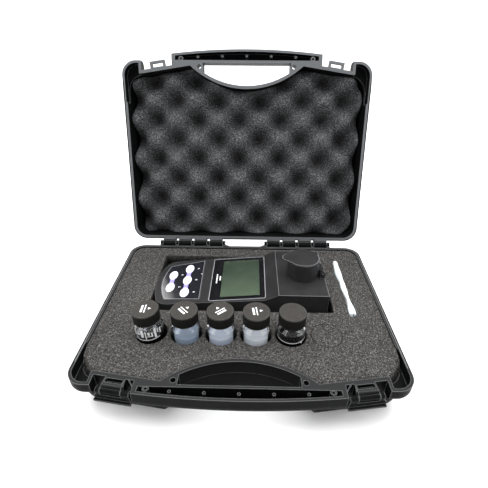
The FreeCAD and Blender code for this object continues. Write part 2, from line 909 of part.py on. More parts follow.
# ---------------------------------------------------------------- the meter

METER = Placement(Vector(size("meter_across"), size("meter_middle"), size("meter_bottom")), Rotation())
TILT = Rotation(Vector(0, 1, 0), -size("face_tilt"))
FACE = Placement(Vector(size("face_across"), 0, size("face_height")), TILT)
FACING = Rotation(Vector(1, 0, 0), 90)


def facing_at(y):
    """A sketch frame facing -Y: the sketch's x runs along +X and its y along +Z."""
    return Placement(Vector(0, y, 0), FACING)


def on_face(depth=0.0):
    """A sketch frame on the meter's sloping face, sunk by the depth."""
    return FACE.multiply(Placement(Vector(0, 0, -depth), Rotation()))


def face_height(x):
    """Height of the sloping face above the meter's underside."""
    return size("face_height") + math.tan(math.radians(size("face_tilt"))) * (x - size("face_across"))


def meter_outline():
    """The meter's plan: square at the sample end, tapering to a rounded keypad end."""
    right = size("meter_right")
    wide = size("meter_half")
    narrow = size("meter_left_half")
    left = size("meter_left")
    return chain(
        (right, -wide),
        [(right, wide)],
        [(30, wide)],
        [(left + 18, narrow)],
        [(left + 9.5, narrow - 3), (left + 4, narrow - 11)],
        [(left, 0), (left + 4, -narrow + 11)],
        [(left + 9.5, -narrow + 3), (left + 18, -narrow)],
        [(30, -wide)],
        [(right, -wide)],
    )


def screw_places():
    side = size("screw_side")
    return [(size(x), y) for x in ("screw_left", "screw_right") for y in (-side, side)]


def make_upper_housing():
    """The meter's upper shell: a tall block at the sample end and a sloping face beside it."""
    body = new_body("meter_upper_housing")
    split = "sizes.meter_split"
    pad(body, draw(body, [meter_outline()], height=split), "sizes.meter_top - sizes.meter_split")
    top = size("meter_top")
    block = size("block_left")
    ramp = size("ramp_left")
    left = size("meter_left") - 1
    above = polygon([(block, top + 1), (left, top + 1), (left, face_height(left)), (ramp, face_height(ramp)),
                     (block - 3, top - 1.5), (block, top)])
    pocket(body, draw(body, [above], offset=facing_at(0)), "4 * sizes.meter_half", both=True)
    wall = size("meter_wall")
    low = size("meter_split") - 1
    start = size("cavity_left")
    inside = polygon([(start, low), (start, face_height(start) - 3), (ramp, face_height(ramp) - 3),
                      (block + 3, size("block_ceiling")), (size("meter_right") - wall, size("block_ceiling")),
                      (size("meter_right") - wall, low)])
    pocket(body, draw(body, [inside], offset=facing_at(0)), "2 * sizes.cavity_half", both=True)
    for (x, y) in screw_places():
        roof = size("block_ceiling") if x > 0 else face_height(x) - 2.5
        ring = [circle(x, y, size("boss_wall")), circle(x, y, size("screw_shank"))]
        pad(body, draw(body, ring, height=split), f"{roof} - sizes.meter_split")
    well = circle(size("well_across"), size("well_middle"), size("well_outer"))
    pocket(body, draw(body, [well], height=split), up=True)
    pane = box_outline(size("window_left"), size("window_right"), size("window_front"), size("window_back"),
                       size("window_round"))
    pocket(body, draw(body, [pane], offset=on_face(-1)), "sizes.window_thick + 1")
    glass = box_outline(size("glass_left"), size("glass_right"), size("glass_front"), size("glass_back"))
    pocket(body, draw(body, [glass], offset=on_face(-1)), "5")
    pocket(body, draw(body, [film_outline()], offset=on_face(-1)), "sizes.film_thick + 1")
    wells = [key_outline(place, size("key_gap")) for place in key_places()]
    pocket(body, draw(body, wells, offset=on_face(-1)), "sizes.film_thick + 1 + sizes.key_travel + 0.15")
    radius = size("cover_barrel")
    pin_x = size("cover_pin_across")
    pin_z = top + size("cover_pin_up")
    for side in (-1, 1):
        place = facing_at(size("well_middle") + side * 5.6)
        slab(body, circle(pin_x, pin_z, radius), place, "3.8")
        slab(body, box_outline(pin_x - radius + 0.3, pin_x + radius - 0.3, top - 1, pin_z), place, "3.8")
    hole = circle(pin_x, pin_z, size("cover_pin_radius"))
    pocket(body, draw(body, [hole], offset=facing_at(size("well_middle"))), "20", both=True)
    body.Placement = METER
    return body


def make_lower_housing():
    body = new_body("meter_lower_housing")
    pad(body, draw(body, [meter_outline()]), "sizes.meter_split")
    low = flat_at(0)
    round_edges(body, "1.5", low)
    wall = size("meter_wall")
    half = size("cavity_half")
    hollow = box_outline(size("cavity_left"), size("meter_right") - wall, -half, half, 2)
    pocket(body, draw(body, [hollow], height="sizes.meter_wall"), up=True)
    door = box_outline(size("door_left"), size("door_right"), -size("door_half"), size("door_half"), 3)
    pocket(body, draw(body, [door]), "sizes.meter_wall + 1", up=True)
    for (x, y) in screw_places():
        ring = [circle(x, y, size("boss_wall")), circle(x, y, size("screw_shank") + 0.1)]
        pad(body, draw(body, ring, height="sizes.meter_wall - 0.4"), "sizes.meter_split - sizes.meter_wall + 0.4")
        pocket(body, draw(body, [circle(x, y, size("screw_head") + 0.1)]), "1.8", up=True)
        pocket(body, draw(body, [circle(x, y, size("screw_shank") + 0.1)]), "5", up=True)
    body.Placement = METER
    return body


def film_outline(trim=0.0):
    """The keypad film, straight on three sides and bowed on the fourth; trim makes it smaller."""
    return chain((-41.3 - trim, -33.3 + trim), [(-42.9 - trim, 36.8 - trim)], [(-82.5 + trim, 29.5 - trim)],
                 [(-87.6 + trim, 1), (-79.5 + trim, -30 + trim)], [(-41.3 - trim, -33.3 + trim)])


def key_places():
    left = -76.5
    right = -59.3
    return [(left, 10.8), (left, -10.8), (right, 21.3), (right, 0.3), (right, -20.7)]


def key_outline(place, grow=0.0):
    centre = Vector(*place)
    tip = centre + Vector(0, size("key_half_length") + grow, 0)
    side = centre + Vector(size("key_half_width") + grow, 0, 0)
    return [Part.Ellipse(tip, side, centre)]


def face_plate(label, outlines, depth, thickness):
    """A flat piece set in the sloping face, its underside sunk by the depth."""
    body = new_body(label)
    pad(body, draw(body, outlines), thickness)
    body.Placement = METER.multiply(on_face(depth))
    return body


def make_face_pieces():
    gap = 0.1
    pane = box_outline(size("window_left") + gap, size("window_right") - gap, size("window_front") + gap,
                       size("window_back") - gap, size("window_round"))
    inner = box_outline(size("glass_left") + 0.4, size("glass_right") - 0.4, size("glass_front") + 0.4,
                        size("glass_back") - 0.4)
    clear = box_outline(size("glass_left") + 0.45, size("glass_right") - 0.45, size("glass_front") + 0.45,
                        size("glass_back") - 0.45)
    thick = size("window_thick")
    lcd = size("lcd_thick")
    keys = [key_outline(place, size("key_gap")) for place in key_places()]
    pieces = [
        face_plate("display_bezel", [pane, inner], thick, "sizes.window_thick"),
        face_plate("display_window", [clear], thick, "sizes.window_thick - 0.2"),
        face_plate("lcd_module", [clear], thick + lcd + 0.05, "sizes.lcd_thick"),
        face_plate("keypad_membrane", [film_outline(gap)] + keys, size("film_thick"), "sizes.film_thick"),
    ]
    for number, place in enumerate(key_places(), start=1):
        pieces.append(face_plate(f"key_{number}", [key_outline(place)], size("film_thick"),
                                 "sizes.film_thick + sizes.key_proud"))
    return pieces


def make_sample_chamber():
    """The sample well, its seal, the light source and the detector at right angles to it."""
    outer = size("well_outer")
    collar = size("well_collar")
    bore = size("well_bore")
    floor = size("well_floor")
    top = size("meter_top")
    rim = top + size("well_rise")
    well = turned("sample_well", [(0, floor), (outer, floor), (outer, top), (collar, top), (collar, rim),
                                  (bore, rim), (bore, floor + 2), (0, floor + 2)])
    beam = circle(0, size("port_height"), size("port_radius"))
    pocket(well, draw(well, [beam], offset=Placement(Vector(0, 0, 0), ALONG_X)), "20")
    pocket(well, draw(well, [beam], offset=Placement(Vector(0, 0, 0), FACING)), "20", up=True)
    seal = turned("well_seal", [(size("seal_inner"), top), (size("seal_outer"), top),
                                (size("seal_outer"), top + size("seal_thick")),
                                (size("seal_inner"), top + size("seal_thick"))])
    centre = Placement(Vector(size("well_across"), size("well_middle"), 0), Rotation())
    for piece in (well, seal):
        piece.Placement = METER.multiply(centre)
    height = size("port_height")
    back = outer + 7.05
    lamp = Placement(Vector(-back, 0, height), TO_X)
    eye = Placement(Vector(0, -back, height), TO_Y)
    place = METER.multiply(centre)
    return [well, seal, rod("light_source", "2.5", "7", place.multiply(lamp)),
            rod("light_detector", "2.5", "7", place.multiply(eye))]


def make_cover():
    """The flip-over light cover: a cup with a finger lip and a hinge knuckle."""
    body = turned("chamber_cover", [
        (size("cover_bore"), 0), (size("cover_radius"), 0), (size("cover_radius"), size("cover_height") - 0.8),
        (size("cover_radius") - 0.8, size("cover_height")), (0, size("cover_height")),
        (0, size("cover_height") - 2), (size("cover_bore"), size("cover_height") - 2)])
    reach = size("cover_lip")
    lip = chain((-8, -14.2), [(-reach + 4, -6)], [(-reach, 0), (-reach + 4, 6)], [(-8, 14.2)], [(-8, -14.2)])
    pad(body, draw(body, [lip], height="sizes.cover_height - 2"), "2")
    pin_x = size("cover_pin_across") - size("well_across")
    pin_z = size("meter_top") + size("cover_pin_up") - size("cover_seat")
    slab(body, circle(pin_x, pin_z, size("cover_barrel")), facing_at(0), "7")
    arm = box_outline(size("cover_bore") + 0.6, pin_x, pin_z - 1.5, pin_z + 2.5)
    slab(body, arm, facing_at(0), "7")
    hole = circle(pin_x, pin_z, size("cover_bore_radius"))
    pocket(body, draw(body, [hole], offset=facing_at(0)), "10", both=True)
    seat = Vector(size("well_across"), size("well_middle"), size("cover_seat"))
    body.Placement = METER.multiply(Placement(seat, Rotation()))
    pin = Placement(Vector(size("cover_pin_across"), size("well_middle") - 7.5,
                           size("meter_top") + size("cover_pin_up")), TO_Y)
    return [body, rod("cover_hinge_pin", "sizes.cover_pin_radius", "15", METER.multiply(pin))]


def plate(label, left, right, front, back, low, high):
    """A rectangular plate in the meter's frame."""
    block = doc.addObject("Part::Box", label)
    block.Label = label
    block.Length = right - left
    block.Width = back - front
    block.Height = high - low
    block.Placement = METER.multiply(Placement(Vector(left, front, low), Rotation()))
    return block


def make_meter_insides():
    door = new_body("battery_door")
    gap = 0.15
    outline = box_outline(size("door_left") + gap, size("door_right") - gap, -size("door_half") + gap,
                          size("door_half") - gap, 3)
    pad(door, draw(door, [outline]), "sizes.door_thick")
    door.Placement = METER
    start = (size("door_left") + size("door_right") - size("battery_length")) / 2
    cells = []
    for number in range(4):
        across = -22.5 + 15 * number
        place = Placement(Vector(start, across, size("battery_height")), TO_X)
        cells.append(rod(f"cell_{number}", "sizes.battery_radius", "sizes.battery_length", METER.multiply(place)))
    end = start + size("battery_length")
    low = size("battery_height") - 4
    springs = [plate("contact_left", start - 0.9, start - 0.1, -28, 28, low, low + 8),
               plate("contact_right", end + 0.1, end + 0.9, -28, 28, low, low + 8)]
    board_low = size("meter_split") + 0.5
    board = plate("circuit_board", -62, 38, -32, 32, board_low, board_low + size("board_thick"))
    screws = []
    for number, (x, y) in enumerate(screw_places()):
        screw = turned(f"screw_{number}", [
            (0, 0.3), (size("screw_head") - 0.3, 0.3), (size("screw_head"), 0.6), (size("screw_head"), 1.8),
            (size("screw_shank"), 1.8), (size("screw_shank"), size("screw_length")), (0, size("screw_length"))])
        screw.Placement = METER.multiply(Placement(Vector(x, y, 0), Rotation()))
        screws.append(screw)
    return [door, group("batteries", cells), group("battery_contacts", springs), board,
            group("housing_screws", screws)]


# ---------------------------------------------------------------- everything, checked and written

parts = [make_base_shell(), make_lid_shell()]
parts += make_hinge_pins()
parts += make_latches()
parts += [make_base_foam(), make_lid_foam(), make_foam_plug(), make_cloth()]
for number in range(5):
    parts += make_vial(number)
parts += [make_upper_housing(), make_lower_housing()]
parts += make_face_pieces()
parts += make_sample_chamber()
parts += make_cover()
parts += make_meter_insides()
doc.recompute()

for item in doc.Objects:
    if "Invalid" in item.State or "Error" in item.State:
        raise RuntimeError(f"{item.Label} failed")
for part in parts:
    if part.Shape.isNull() or not part.Shape.isValid():
        raise RuntimeError(f"{part.Label} has no valid shape")

os.makedirs("parts", exist_ok=True)
for part in parts:
    part.Shape.exportStep(f"parts/{part.Label}.step")
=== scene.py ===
import math

import bmesh
import bpy
from mathutils import Matrix, Vector, kdtree, noise


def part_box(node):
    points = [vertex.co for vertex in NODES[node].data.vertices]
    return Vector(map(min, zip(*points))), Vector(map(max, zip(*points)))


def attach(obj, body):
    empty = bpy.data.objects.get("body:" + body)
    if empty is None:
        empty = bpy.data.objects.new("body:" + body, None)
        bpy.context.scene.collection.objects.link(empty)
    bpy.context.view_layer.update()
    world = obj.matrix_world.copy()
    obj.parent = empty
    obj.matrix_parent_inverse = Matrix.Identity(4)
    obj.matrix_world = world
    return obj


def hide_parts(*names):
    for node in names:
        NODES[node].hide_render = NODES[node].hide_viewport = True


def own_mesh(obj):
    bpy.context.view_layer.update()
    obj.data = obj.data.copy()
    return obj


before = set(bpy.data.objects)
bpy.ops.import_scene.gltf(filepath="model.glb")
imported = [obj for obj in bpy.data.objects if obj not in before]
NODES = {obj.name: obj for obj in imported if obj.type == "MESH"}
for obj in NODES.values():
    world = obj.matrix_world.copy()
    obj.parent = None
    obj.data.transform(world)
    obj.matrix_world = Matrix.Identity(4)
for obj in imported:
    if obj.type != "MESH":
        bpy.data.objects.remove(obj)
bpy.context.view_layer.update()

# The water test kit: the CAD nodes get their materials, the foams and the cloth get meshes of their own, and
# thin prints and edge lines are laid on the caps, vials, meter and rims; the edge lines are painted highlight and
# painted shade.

noise.seed_set(1)          # noise_vector is seeded by the clock otherwise

# ------------------------------------------------------------------ measures, in metres, from the frame

KNUCKLE_RISE = 0.0034      # how far the hinge knuckles stand above the rim plane
PIN_RADIUS = 0.0015
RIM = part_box("base_shell")[1][2] - KNUCKLE_RISE
HINGE_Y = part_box("hinge_pin_left")[0][1] + PIN_RADIUS
LID_ANGLE = math.radians(105.13)
FRONT = -0.103             # the case's front wall
FOAM_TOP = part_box("base_foam")[1][2]
FACE_TILT = math.radians(5.3)      # of the meter's sloping face
METER_Y = 0.0345           # the meter's middle line
WELD = 2e-6                # vertices closer than this are one, when an outline is read from a mesh


def hinge_matrix():
    """Takes a point of the shut lid's frame (z up from the rim plane) to the open lid."""
    pivot = Matrix.Translation((0, HINGE_Y, RIM))
    return pivot @ Matrix.Rotation(-LID_ANGLE, 4, "X") @ Matrix.Translation((0, -HINGE_Y, 0))


LID = hinge_matrix()


# ------------------------------------------------------------------ materials


class Shader:
    """A small helper that adds nodes to one material."""

    def __init__(self, name):
        self.material = bpy.data.materials.new(name)
        self.material.use_nodes = True
        self.tree = self.material.node_tree
        self.bsdf = self.tree.nodes["Principled BSDF"]
        self.coords = self.add("ShaderNodeTexCoord")

    def add(self, kind, **values):
        node = self.tree.nodes.new(kind)
        for key, value in values.items():
            if key in node.inputs.keys():
                node.inputs[key].default_value = value
            else:
                setattr(node, key, value)
        return node

    def link(self, out, into):
        self.tree.links.new(out, into)

    def set(self, **values):
        for key, value in values.items():
            self.bsdf.inputs[key.replace("_", " ")].default_value = value

    def noise(self, scale, detail=4.0, roughness=0.6):
        node = self.add("ShaderNodeTexNoise", Scale=scale, Detail=detail, Roughness=roughness)
        self.link(self.coords.outputs["Object"], node.inputs["Vector"])
        return node.outputs["Fac"]

    def ramp(self, source, stops):
        """stops are (position, colour) pairs; a colour may be a single grey value."""
        node = self.add("ShaderNodeValToRGB")
        ramp = node.color_ramp
        while len(ramp.elements) < len(stops):
            ramp.elements.new(0.5)
        for element, (place, colour) in zip(ramp.elements, stops):
            element.position = place
            if isinstance(colour, (int, float)):
                colour = (colour, colour, colour)
            element.color = (*colour, 1.0)
        self.link(source, node.inputs["Fac"])
        return node.outputs["Color"]

    def mix(self, factor, first, second, mode="MIX"):
        node = self.add("ShaderNodeMix", data_type="RGBA", blend_type=mode)
        for socket, value in ((0, factor), (6, first), (7, second)):
            if isinstance(value, bpy.types.NodeSocket):
                self.link(value, node.inputs[socket])
            else:
                node.inputs[socket].default_value = value if socket == 0 else (*value, 1.0)
        return node.outputs[2]

    def bump(self, source, strength, distance):
        node = self.add("ShaderNodeBump", Strength=strength, Distance=distance)
        last = self.bsdf.inputs["Normal"].links
        if last:
            self.link(last[0].from_socket, node.inputs["Normal"])
        self.link(source, node.inputs["Height"])
        self.link(node.outputs["Normal"], self.bsdf.inputs["Normal"])

    def wear_and_highlight(self, radius=0.0007):
        """A mask of the edges, from a bevelled normal against the true one; it paints their rubbed wear and their
        highlight.
        """
        bevel = self.add("ShaderNodeBevel", Radius=radius)
        bevel.samples = 4
        geometry = self.add("ShaderNodeNewGeometry")
        dot = self.add("ShaderNodeVectorMath", operation="DOT_PRODUCT")
        self.link(bevel.outputs["Normal"], dot.inputs[0])
        self.link(geometry.outputs["Normal"], dot.inputs[1])
        return self.ramp(dot.outputs["Value"], [(0.80, 1.0), (0.995, 0.0)])


RIM_BAND = 0.0009          # how far above and below the rim plane its painted highlight may reach


def case_plastic(name, up, rim_tone):
    """Black moulded ABS with a fine spark-eroded grain, paler edges that are rubbed wear with a painted highlight,
    and a paler rim that is a painted highlight. up points out of the rim.
    """
    s = Shader(name)
    height = s.add("ShaderNodeVectorMath", operation="DOT_PRODUCT")
    height.inputs[1].default_value = up
    s.link(s.coords.outputs["Object"], height.inputs[0])
    level = Vector((0.0, HINGE_Y, RIM)).dot(up)
    rim = s.add("ShaderNodeMapRange")
    rim.inputs["From Min"].default_value = level - RIM_BAND
    rim.inputs["From Max"].default_value = level + RIM_BAND
    s.link(height.outputs["Value"], rim.inputs["Value"])
    # the rim plane's paler tone is a painted highlight
    on_rim = s.ramp(rim.outputs["Result"], [(0.0, 0.0), (0.45, 1.0), (0.65, 1.0), (0.95, 0.0)])
    tone = s.ramp(s.noise(38), [(0.3, (0.0028, 0.0030, 0.0030)), (0.7, (0.0055, 0.0058, 0.0058))])
    tone = s.mix(on_rim, tone, rim_tone)
    # the paler edges are rubbed wear with a painted highlight
    edge = s.wear_and_highlight(0.0009)
    s.link(s.mix(edge, tone, (0.15, 0.152, 0.155)), s.bsdf.inputs["Base Color"])
    s.link(s.ramp(s.noise(900, 3), [(0.3, 0.36), (0.7, 0.52)]), s.bsdf.inputs["Roughness"])
    s.bump(s.noise(1700, 2), 0.22, 0.0002)
    s.bump(s.noise(60, 2), 0.05, 0.001)
    s.set(Specular_IOR_Level=0.2, IOR=1.16)
    return s.material


def meter_plastic():
    """Black ABS of the meter, a little warmer and smoother, with bright moulded edges that are a painted
    highlight.
    """
    s = Shader("meter_plastic")
    tone = s.ramp(s.noise(55), [(0.3, (0.014, 0.014, 0.0145)), (0.7, (0.022, 0.0216, 0.0225))])
    # the bright edges are a painted highlight
    edge = s.wear_and_highlight(0.0006)
    s.link(s.mix(edge, tone, (0.16, 0.16, 0.165)), s.bsdf.inputs["Base Color"])
    s.link(s.ramp(s.noise(1200, 3), [(0.3, 0.33), (0.7, 0.47)]), s.bsdf.inputs["Roughness"])
    s.bump(s.noise(2300, 2), 0.18, 0.00015)
    s.set(Specular_IOR_Level=0.32, IOR=1.32)
    return s.material


FOAM_CELLS = 1500          # cells in a metre of foam


def foam(name, low, high, speck, pore_shade_colour, shade=None):
    """Open-cell foam: cells of random tone over fine bumps; the paler cells, where a cut wall catches light, are a
    painted highlight, and the near-black open cells are painted shade.

    shade is (axis, dark, light): painted shade, along the axis the foam goes from its darkest to its full tone."""
    s = Shader(name)
    cells = s.add("ShaderNodeTexVoronoi", Scale=FOAM_CELLS)
    s.link(s.coords.outputs["Object"], cells.inputs["Vector"])
    split = s.add("ShaderNodeSeparateColor")
    s.link(cells.outputs["Color"], split.inputs["Color"])
    base = s.ramp(s.noise(24, 4), [(0.3, low), (0.7, high)])
    tone = s.ramp(split.outputs["Red"], [(0.12, pore_shade_colour), (0.52, low), (0.82, high), (1.0, speck)])
    colour = s.mix(0.82, base, tone)
    if shade:
        axis, dark, light = shade
        level = s.add("ShaderNodeVectorMath", operation="DOT_PRODUCT")
        level.inputs[1].default_value = axis
        s.link(s.coords.outputs["Object"], level.inputs[0])
        place = s.add("ShaderNodeMapRange")
        place.inputs["From Min"].default_value = dark
        place.inputs["From Max"].default_value = light
        s.link(level.outputs["Value"], place.inputs["Value"])
        # darker towards dark along the axis: painted shade
        depth = s.ramp(place.outputs["Result"], [(0.0, 0.16), (0.45, 0.50), (1.0, 1.0)])
        colour = s.mix(1.0, colour, depth, "MULTIPLY")
    s.link(colour, s.bsdf.inputs["Base Color"])
    s.set(Roughness=0.95, Specular_IOR_Level=0.1)
    s.bump(split.outputs["Green"], 0.35, 0.0006)
    s.bump(s.noise(FOAM_CELLS / 5, 3), 0.35, 0.0012)
    return s.material


def plain(name, colour, roughness, grain=900, bump=0.08, spread=0.15, edge=None, **values):
    """A finish with slight mottling and grain, for the small pieces, and a paler edge, rubbed wear with a painted
    highlight, if one is given.
    """
    s = Shader(name)
    dark = tuple(c * (1 - spread) for c in colour)
    light = tuple(min(1.0, c * (1 + spread)) for c in colour)
    tone = s.ramp(s.noise(grain / 8), [(0.35, dark), (0.65, light)])
    if edge:
        tone = s.mix(s.wear_and_highlight(0.0006), tone, edge)
    s.link(tone, s.bsdf.inputs["Base Color"])
    s.link(s.ramp(s.noise(grain), [(0.3, roughness * 0.85), (0.7, min(1.0, roughness * 1.15))]),
           s.bsdf.inputs["Roughness"])
    s.bump(s.noise(grain * 1.5, 2), bump, 0.0002)
    s.set(**values)
    return s.material


def cap_plastic():
    """Phenolic screw cap: a brown-grey matt top over near-black sides, with a paler rim that is rubbed wear with a
    painted highlight.
    """
    s = Shader("cap_plastic")
    geometry = s.add("ShaderNodeNewGeometry")
    split = s.add("ShaderNodeSeparateXYZ")
    s.link(geometry.outputs["Normal"], split.inputs[0])
    top = s.ramp(split.outputs["Z"], [(0.75, 0.0), (0.95, 1.0)])
    pale = s.ramp(s.noise(220), [(0.3, (0.026, 0.024, 0.021)), (0.7, (0.038, 0.035, 0.032))])
    tone = s.mix(top, (0.004, 0.004, 0.0035), pale)
    # the paler cap rim is rubbed wear with a painted highlight
    s.link(s.mix(s.wear_and_highlight(0.0007), tone, (0.17, 0.165, 0.155)), s.bsdf.inputs["Base Color"])
    s.set(Roughness=0.6, Specular_IOR_Level=0.18)
    s.bump(s.noise(1800, 2), 0.25, 0.0002)
    return s.material


REFLECTION_LEAN = 0.45          # how much the painted reflection's place shifts in x for each metre in y
REFLECTION_FULL = -0.082        # the painted reflection is full here
REFLECTION_GONE = -0.058        # and gone here


def film_gloss():
    """The keypad's printed film: glossy black with a painted reflection that greys it towards its lower left end.
    """
    s = Shader("film_gloss")
    split = s.add("ShaderNodeSeparateXYZ")
    s.link(s.coords.outputs["Object"], split.inputs[0])
    total = s.add("ShaderNodeMath", operation="MULTIPLY_ADD")
    total.inputs[1].default_value = REFLECTION_LEAN
    s.link(split.outputs["Y"], total.inputs[0])
    s.link(split.outputs["X"], total.inputs[2])
    place = s.add("ShaderNodeMapRange")
    place.inputs["From Min"].default_value = REFLECTION_FULL
    place.inputs["From Max"].default_value = REFLECTION_GONE
    s.link(total.outputs[0], place.inputs["Value"])
    # the grey towards the lower left end is a painted reflection
    cloud = s.ramp(place.outputs["Result"], [(0.0, (0.26, 0.26, 0.26)), (0.6, (0.03, 0.03, 0.032)),
                                             (1.0, (0.012, 0.012, 0.016))])
    mottle = s.ramp(s.noise(160, 4), [(0.35, 0.72), (0.65, 1.0)])
    s.link(s.mix(1.0, cloud, mottle, "MULTIPLY"), s.bsdf.inputs["Base Color"])
    s.set(Roughness=0.22, Specular_IOR_Level=0.35)
    s.bump(s.noise(700, 2), 0.03, 0.0001)
    return s.material


def glass(name, tint):
    """Clear vial glass, slightly uneven, cheap to see through."""
    s = Shader(name)
    shade = tuple(c * 0.97 for c in tint)
    s.link(s.ramp(s.noise(40), [(0.3, shade), (0.7, tint)]), s.bsdf.inputs["Base Color"])
    s.link(s.ramp(s.noise(90), [(0.3, 0.01), (0.7, 0.05)]), s.bsdf.inputs["Roughness"])
    s.set(IOR=1.45, Transmission_Weight=1.0)
    s.bump(s.noise(70, 2), 0.04, 0.0006)
    return s.material


def milky(name, colour):
    """A turbid standard: pale suspended latex that scatters light, and a faint glow in its own colour that is
    painted light.
    """
    s = Shader(name)
    cloud = s.ramp(s.noise(45, 3), [(0.3, tuple(c * 0.92 for c in colour)), (0.7, colour)])
    s.link(cloud, s.bsdf.inputs["Base Color"])
    s.link(s.ramp(s.noise(300), [(0.3, 0.25), (0.7, 0.4)]), s.bsdf.inputs["Roughness"])
    s.set(Subsurface_Weight=0.5, Subsurface_Scale=0.006, IOR=1.34)
    s.bsdf.inputs["Subsurface Radius"].default_value = (0.8, 0.9, 1.0)
    # the emission is painted light: the liquid glows though it is no lamp
    s.bsdf.inputs["Emission Color"].default_value = (*colour, 1.0)
    s.bsdf.inputs["Emission Strength"].default_value = 0.10
    return s.material


LCD_FRONT = 0.003
LCD_BACK = 0.068


def lcd_screen():
    """Unpowered reflective LCD: grey-green with a faint gradient of painted sheen, paler at its front, and
    polariser mottling.
    """
    s = Shader("lcd_screen")
    split = s.add("ShaderNodeSeparateXYZ")
    s.link(s.coords.outputs["Object"], split.inputs[0])
    shade = s.add("ShaderNodeMapRange")
    shade.inputs["From Min"].default_value = LCD_FRONT
    shade.inputs["From Max"].default_value = LCD_BACK
    s.link(split.outputs["Y"], shade.inputs["Value"])
    # paler at the front edge than at the back: a painted sheen
    sheen_fade = s.ramp(shade.outputs["Result"], [(0.0, (0.125, 0.165, 0.110)), (0.5, (0.072, 0.097, 0.072)),
                                            (1.0, (0.052, 0.070, 0.052))])
    mottle = s.ramp(s.noise(60, 4), [(0.3, 0.82), (0.7, 1.0)])
    s.link(s.mix(1.0, sheen_fade, mottle, "MULTIPLY"), s.bsdf.inputs["Base Color"])
    s.set(Roughness=0.28, Specular_IOR_Level=0.5)
    s.bump(s.noise(2500, 2), 0.05, 0.0001)
    return s.material


def brushed(name, colour):
    """Drawn steel with fine lines along it."""
    s = Shader(name)
    stretch = s.add("ShaderNodeMapping")
    stretch.inputs["Scale"].default_value = (20, 900, 900)
    s.link(s.coords.outputs["Object"], stretch.inputs["Vector"])
    lines = s.add("ShaderNodeTexNoise", Scale=3.0, Detail=3.0)
    s.link(stretch.outputs["Vector"], lines.inputs["Vector"])
    s.link(s.ramp(lines.outputs["Fac"], [(0.3, tuple(c * 0.8 for c in colour)), (0.7, colour)]),
           s.bsdf.inputs["Base Color"])
    s.set(Metallic=1.0, Roughness=0.32)
    s.bump(lines.outputs["Fac"], 0.1, 0.0001)
    return s.material


def woven(name):
    """White microfibre: fine waffle of loops with soft sheen, and cold blue-grey patches of painted shade spread
    by noise.
    """
    s = Shader(name)
    wave = s.add("ShaderNodeTexVoronoi", Scale=1400.0)
    s.link(s.coords.outputs["Object"], wave.inputs["Vector"])
    tone = s.ramp(s.noise(60, 3), [(0.3, (0.62, 0.74, 0.78)), (0.7, (0.86, 0.93, 0.95))])
    s.link(tone, s.bsdf.inputs["Base Color"])
    s.set(Roughness=0.9, Sheen_Weight=0.4)
    s.bump(wave.outputs["Distance"], 0.4, 0.0004)
    s.bump(s.noise(260, 3), 0.3, 0.0006)
    return s.material


LID_UP = LID.to_3x3() @ Vector((0, 0, -1))
RIM_LEVEL = Vector((0.0, HINGE_Y, RIM)).dot(LID_UP)
# tones: low, high, pale specks of painted highlight, open cells of painted shade
FOAM_TONES = ((0.042, 0.0405, 0.039), (0.066, 0.064, 0.061), (0.190, 0.182, 0.173), (0.006, 0.006, 0.006))
FOAM_SHADE = (Vector((0, 0, 1)), FOAM_TOP - 0.0085, FOAM_TOP - 0.0012)     # painted shade of the cut walls
LID_SHADE = (LID_UP, RIM_LEVEL - 0.0275, RIM_LEVEL - 0.0110)               # painted shade in the egg crate's hollows

